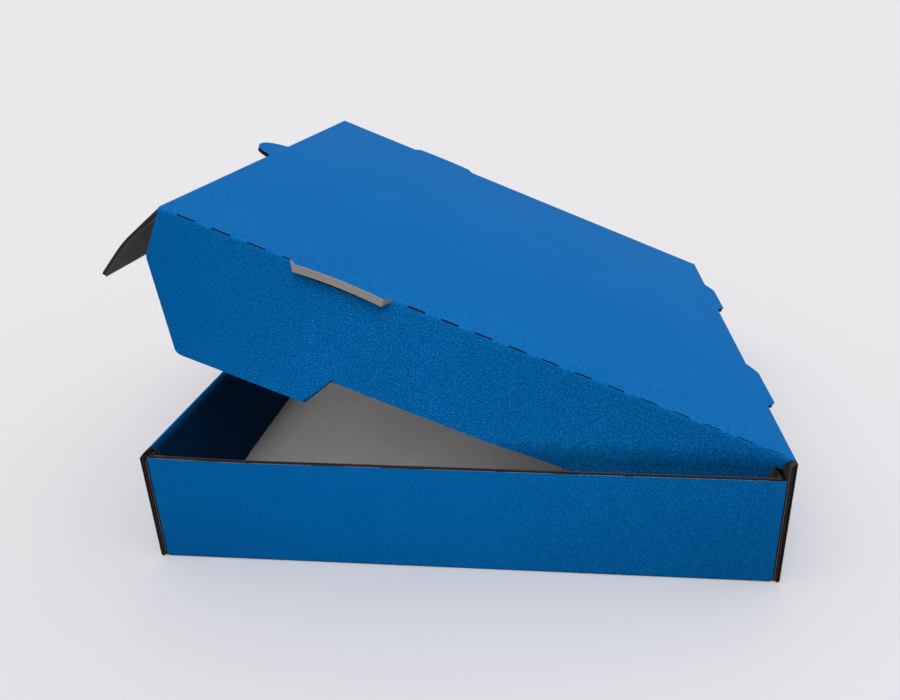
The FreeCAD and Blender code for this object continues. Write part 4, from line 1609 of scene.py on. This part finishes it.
@dataclass(frozen=True)
class Studio:
    """Pale floor, soft daylight from above, and the camera at the photograph's view.

    The lens and its centre are in pixels of the frame, and the eye is in metres.
    """

    floor_size: float = 60.0
    pale: tuple[float, float, float] = (0.815, 0.807, 0.831)
    floor_bounce: tuple[float, float, float] = (0.18, 0.178, 0.18)
    floor_roughness: float = 0.9
    sky_low: float = 0.25
    sky_rise: float = 0.66
    key_strength: float = 1.35
    key_from: tuple[float, float, float] = (0.05, -0.70, 0.72)
    key_angle: float = np.radians(50.0)
    focal: float = 775.67
    centre: tuple[float, float] = (488.59, 353.70)
    frame: tuple[int, int] = (900, 700)
    eye: tuple[float, float, float] = (0.04837, -0.46476, 0.25112)
    yaw: float = -0.1007
    pitch: float = 0.4065
    roll: float = -0.0217
    sensor: float = 36.0
    clip_end: float = 200.0

    def seen_rays(self, graph: Graph) -> bpy.types.NodeSocket:
        """1 for rays that show the backdrop: from the camera, a gloss or through glass."""
        rays = graph.tree.nodes.new("ShaderNodeLightPath").outputs
        mirrored = graph.value("MAXIMUM", rays["Is Camera Ray"], rays["Is Glossy Ray"])
        return graph.value("MAXIMUM", mirrored, rays["Is Transmission Ray"])

    def build_floor(self) -> None:
        """The floor, which only stages the box."""
        half = self.floor_size / 2
        mesh = bpy.data.meshes.new("floor")
        corners = [(-half, -half, 0), (half, -half, 0), (half, half, 0), (-half, half, 0)]
        mesh.from_pydata(corners, [], [(0, 1, 2, 3)])
        material, graph, shader = new_material("floor")
        seen = graph.mix(self.seen_rays(graph), self.floor_bounce, self.pale)
        finish = {"Base Color": seen, "Roughness": self.floor_roughness, "Specular IOR Level": 0.0}
        for name, value in finish.items():
            graph.plug(shader.inputs[name], value)
        mesh.materials.append(material)
        floor = bpy.data.objects.new("floor", mesh)
        bpy.context.scene.collection.objects.link(floor)

    def build_light(self) -> None:
        """Even sky light, seen by the camera as the backdrop, and a broad key light."""
        world = bpy.data.worlds.new("studio")
        world.use_nodes = True
        graph = Graph(world.node_tree)
        nodes = graph.tree.nodes
        light = nodes["Background"]
        split = nodes.new("ShaderNodeSeparateXYZ")
        seen = nodes.new("ShaderNodeBackground")
        mix = nodes.new("ShaderNodeMixShader")
        graph.plug(split.inputs[0], nodes.new("ShaderNodeTexCoord").outputs["Generated"])
        rise = graph.product(graph.value("MAXIMUM", split.outputs["Z"], 0.0), self.sky_rise)
        graph.plug(light.inputs["Color"], (1.0, 1.0, 1.0))
        graph.plug(light.inputs["Strength"], graph.value("ADD", rise, self.sky_low))
        graph.plug(seen.inputs["Color"], self.pale)
        for socket, value in zip(mix.inputs, (self.seen_rays(graph), light.outputs[0], seen.outputs[0])):
            graph.plug(socket, value)
        graph.plug(nodes["World Output"].inputs["Surface"], mix.outputs[0])
        bpy.context.scene.world = world
        key = bpy.data.lights.new("key", "SUN")
        key.energy = self.key_strength
        key.angle = self.key_angle
        lamp = bpy.data.objects.new("key", key)
        lamp.rotation_euler = Vector(self.key_from).to_track_quat("Z", "Y").to_euler()
        bpy.context.scene.collection.objects.link(lamp)

    def build_camera(self) -> None:
        """The camera, turned by yaw, pitch and roll, with the lens of the photograph."""
        cy, sy = np.cos(self.yaw), np.sin(self.yaw)
        cp, sp = np.cos(self.pitch), np.sin(self.pitch)
        cr, sr = np.cos(self.roll), np.sin(self.roll)
        forward = np.array([sy * cp, cy * cp, -sp])
        right = np.array([cy, -sy, 0.0])
        up = np.cross(right, forward)
        axes = np.stack([cr * right + sr * up, cr * up - sr * right, -forward], axis=1)
        data = bpy.data.cameras.new("camera")
        width, height = self.frame
        data.sensor_fit = "HORIZONTAL"
        data.sensor_width = self.sensor
        data.lens = self.focal / width * self.sensor
        data.shift_x = (width / 2 - self.centre[0]) / width
        data.shift_y = (self.centre[1] - height / 2) / width
        data.clip_end = self.clip_end
        camera = bpy.data.objects.new("camera", data)
        matrix = Matrix(axes.tolist()).to_4x4()
        matrix.translation = Vector(self.eye)
        camera.matrix_world = matrix
        bpy.context.scene.collection.objects.link(camera)
        bpy.context.scene.camera = camera

    def build(self) -> None:
        """Camera, light and floor."""
        self.build_camera()
        self.build_light()
        self.build_floor()
        bpy.context.scene.view_settings.view_transform = "Standard"


def main() -> None:
    """Loads the frame, builds the studio and the box, and puts each piece on its body in place of the frame's
    part.
    """
    logging.basicConfig(level=logging.INFO)
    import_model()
    Studio().build()
    box, finishes = BoxSizes(), Finishes()
    for builder, node in ((Tray(box), "tray"), (Lid(box), "lid"), (FrontFlap(box), "front_flap")):
        piece = builder.build(finishes)
        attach(piece, node)
        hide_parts(node)
        LOG.info("%s rides on %s", piece.name, node)


if __name__ == "__main__":
    main()
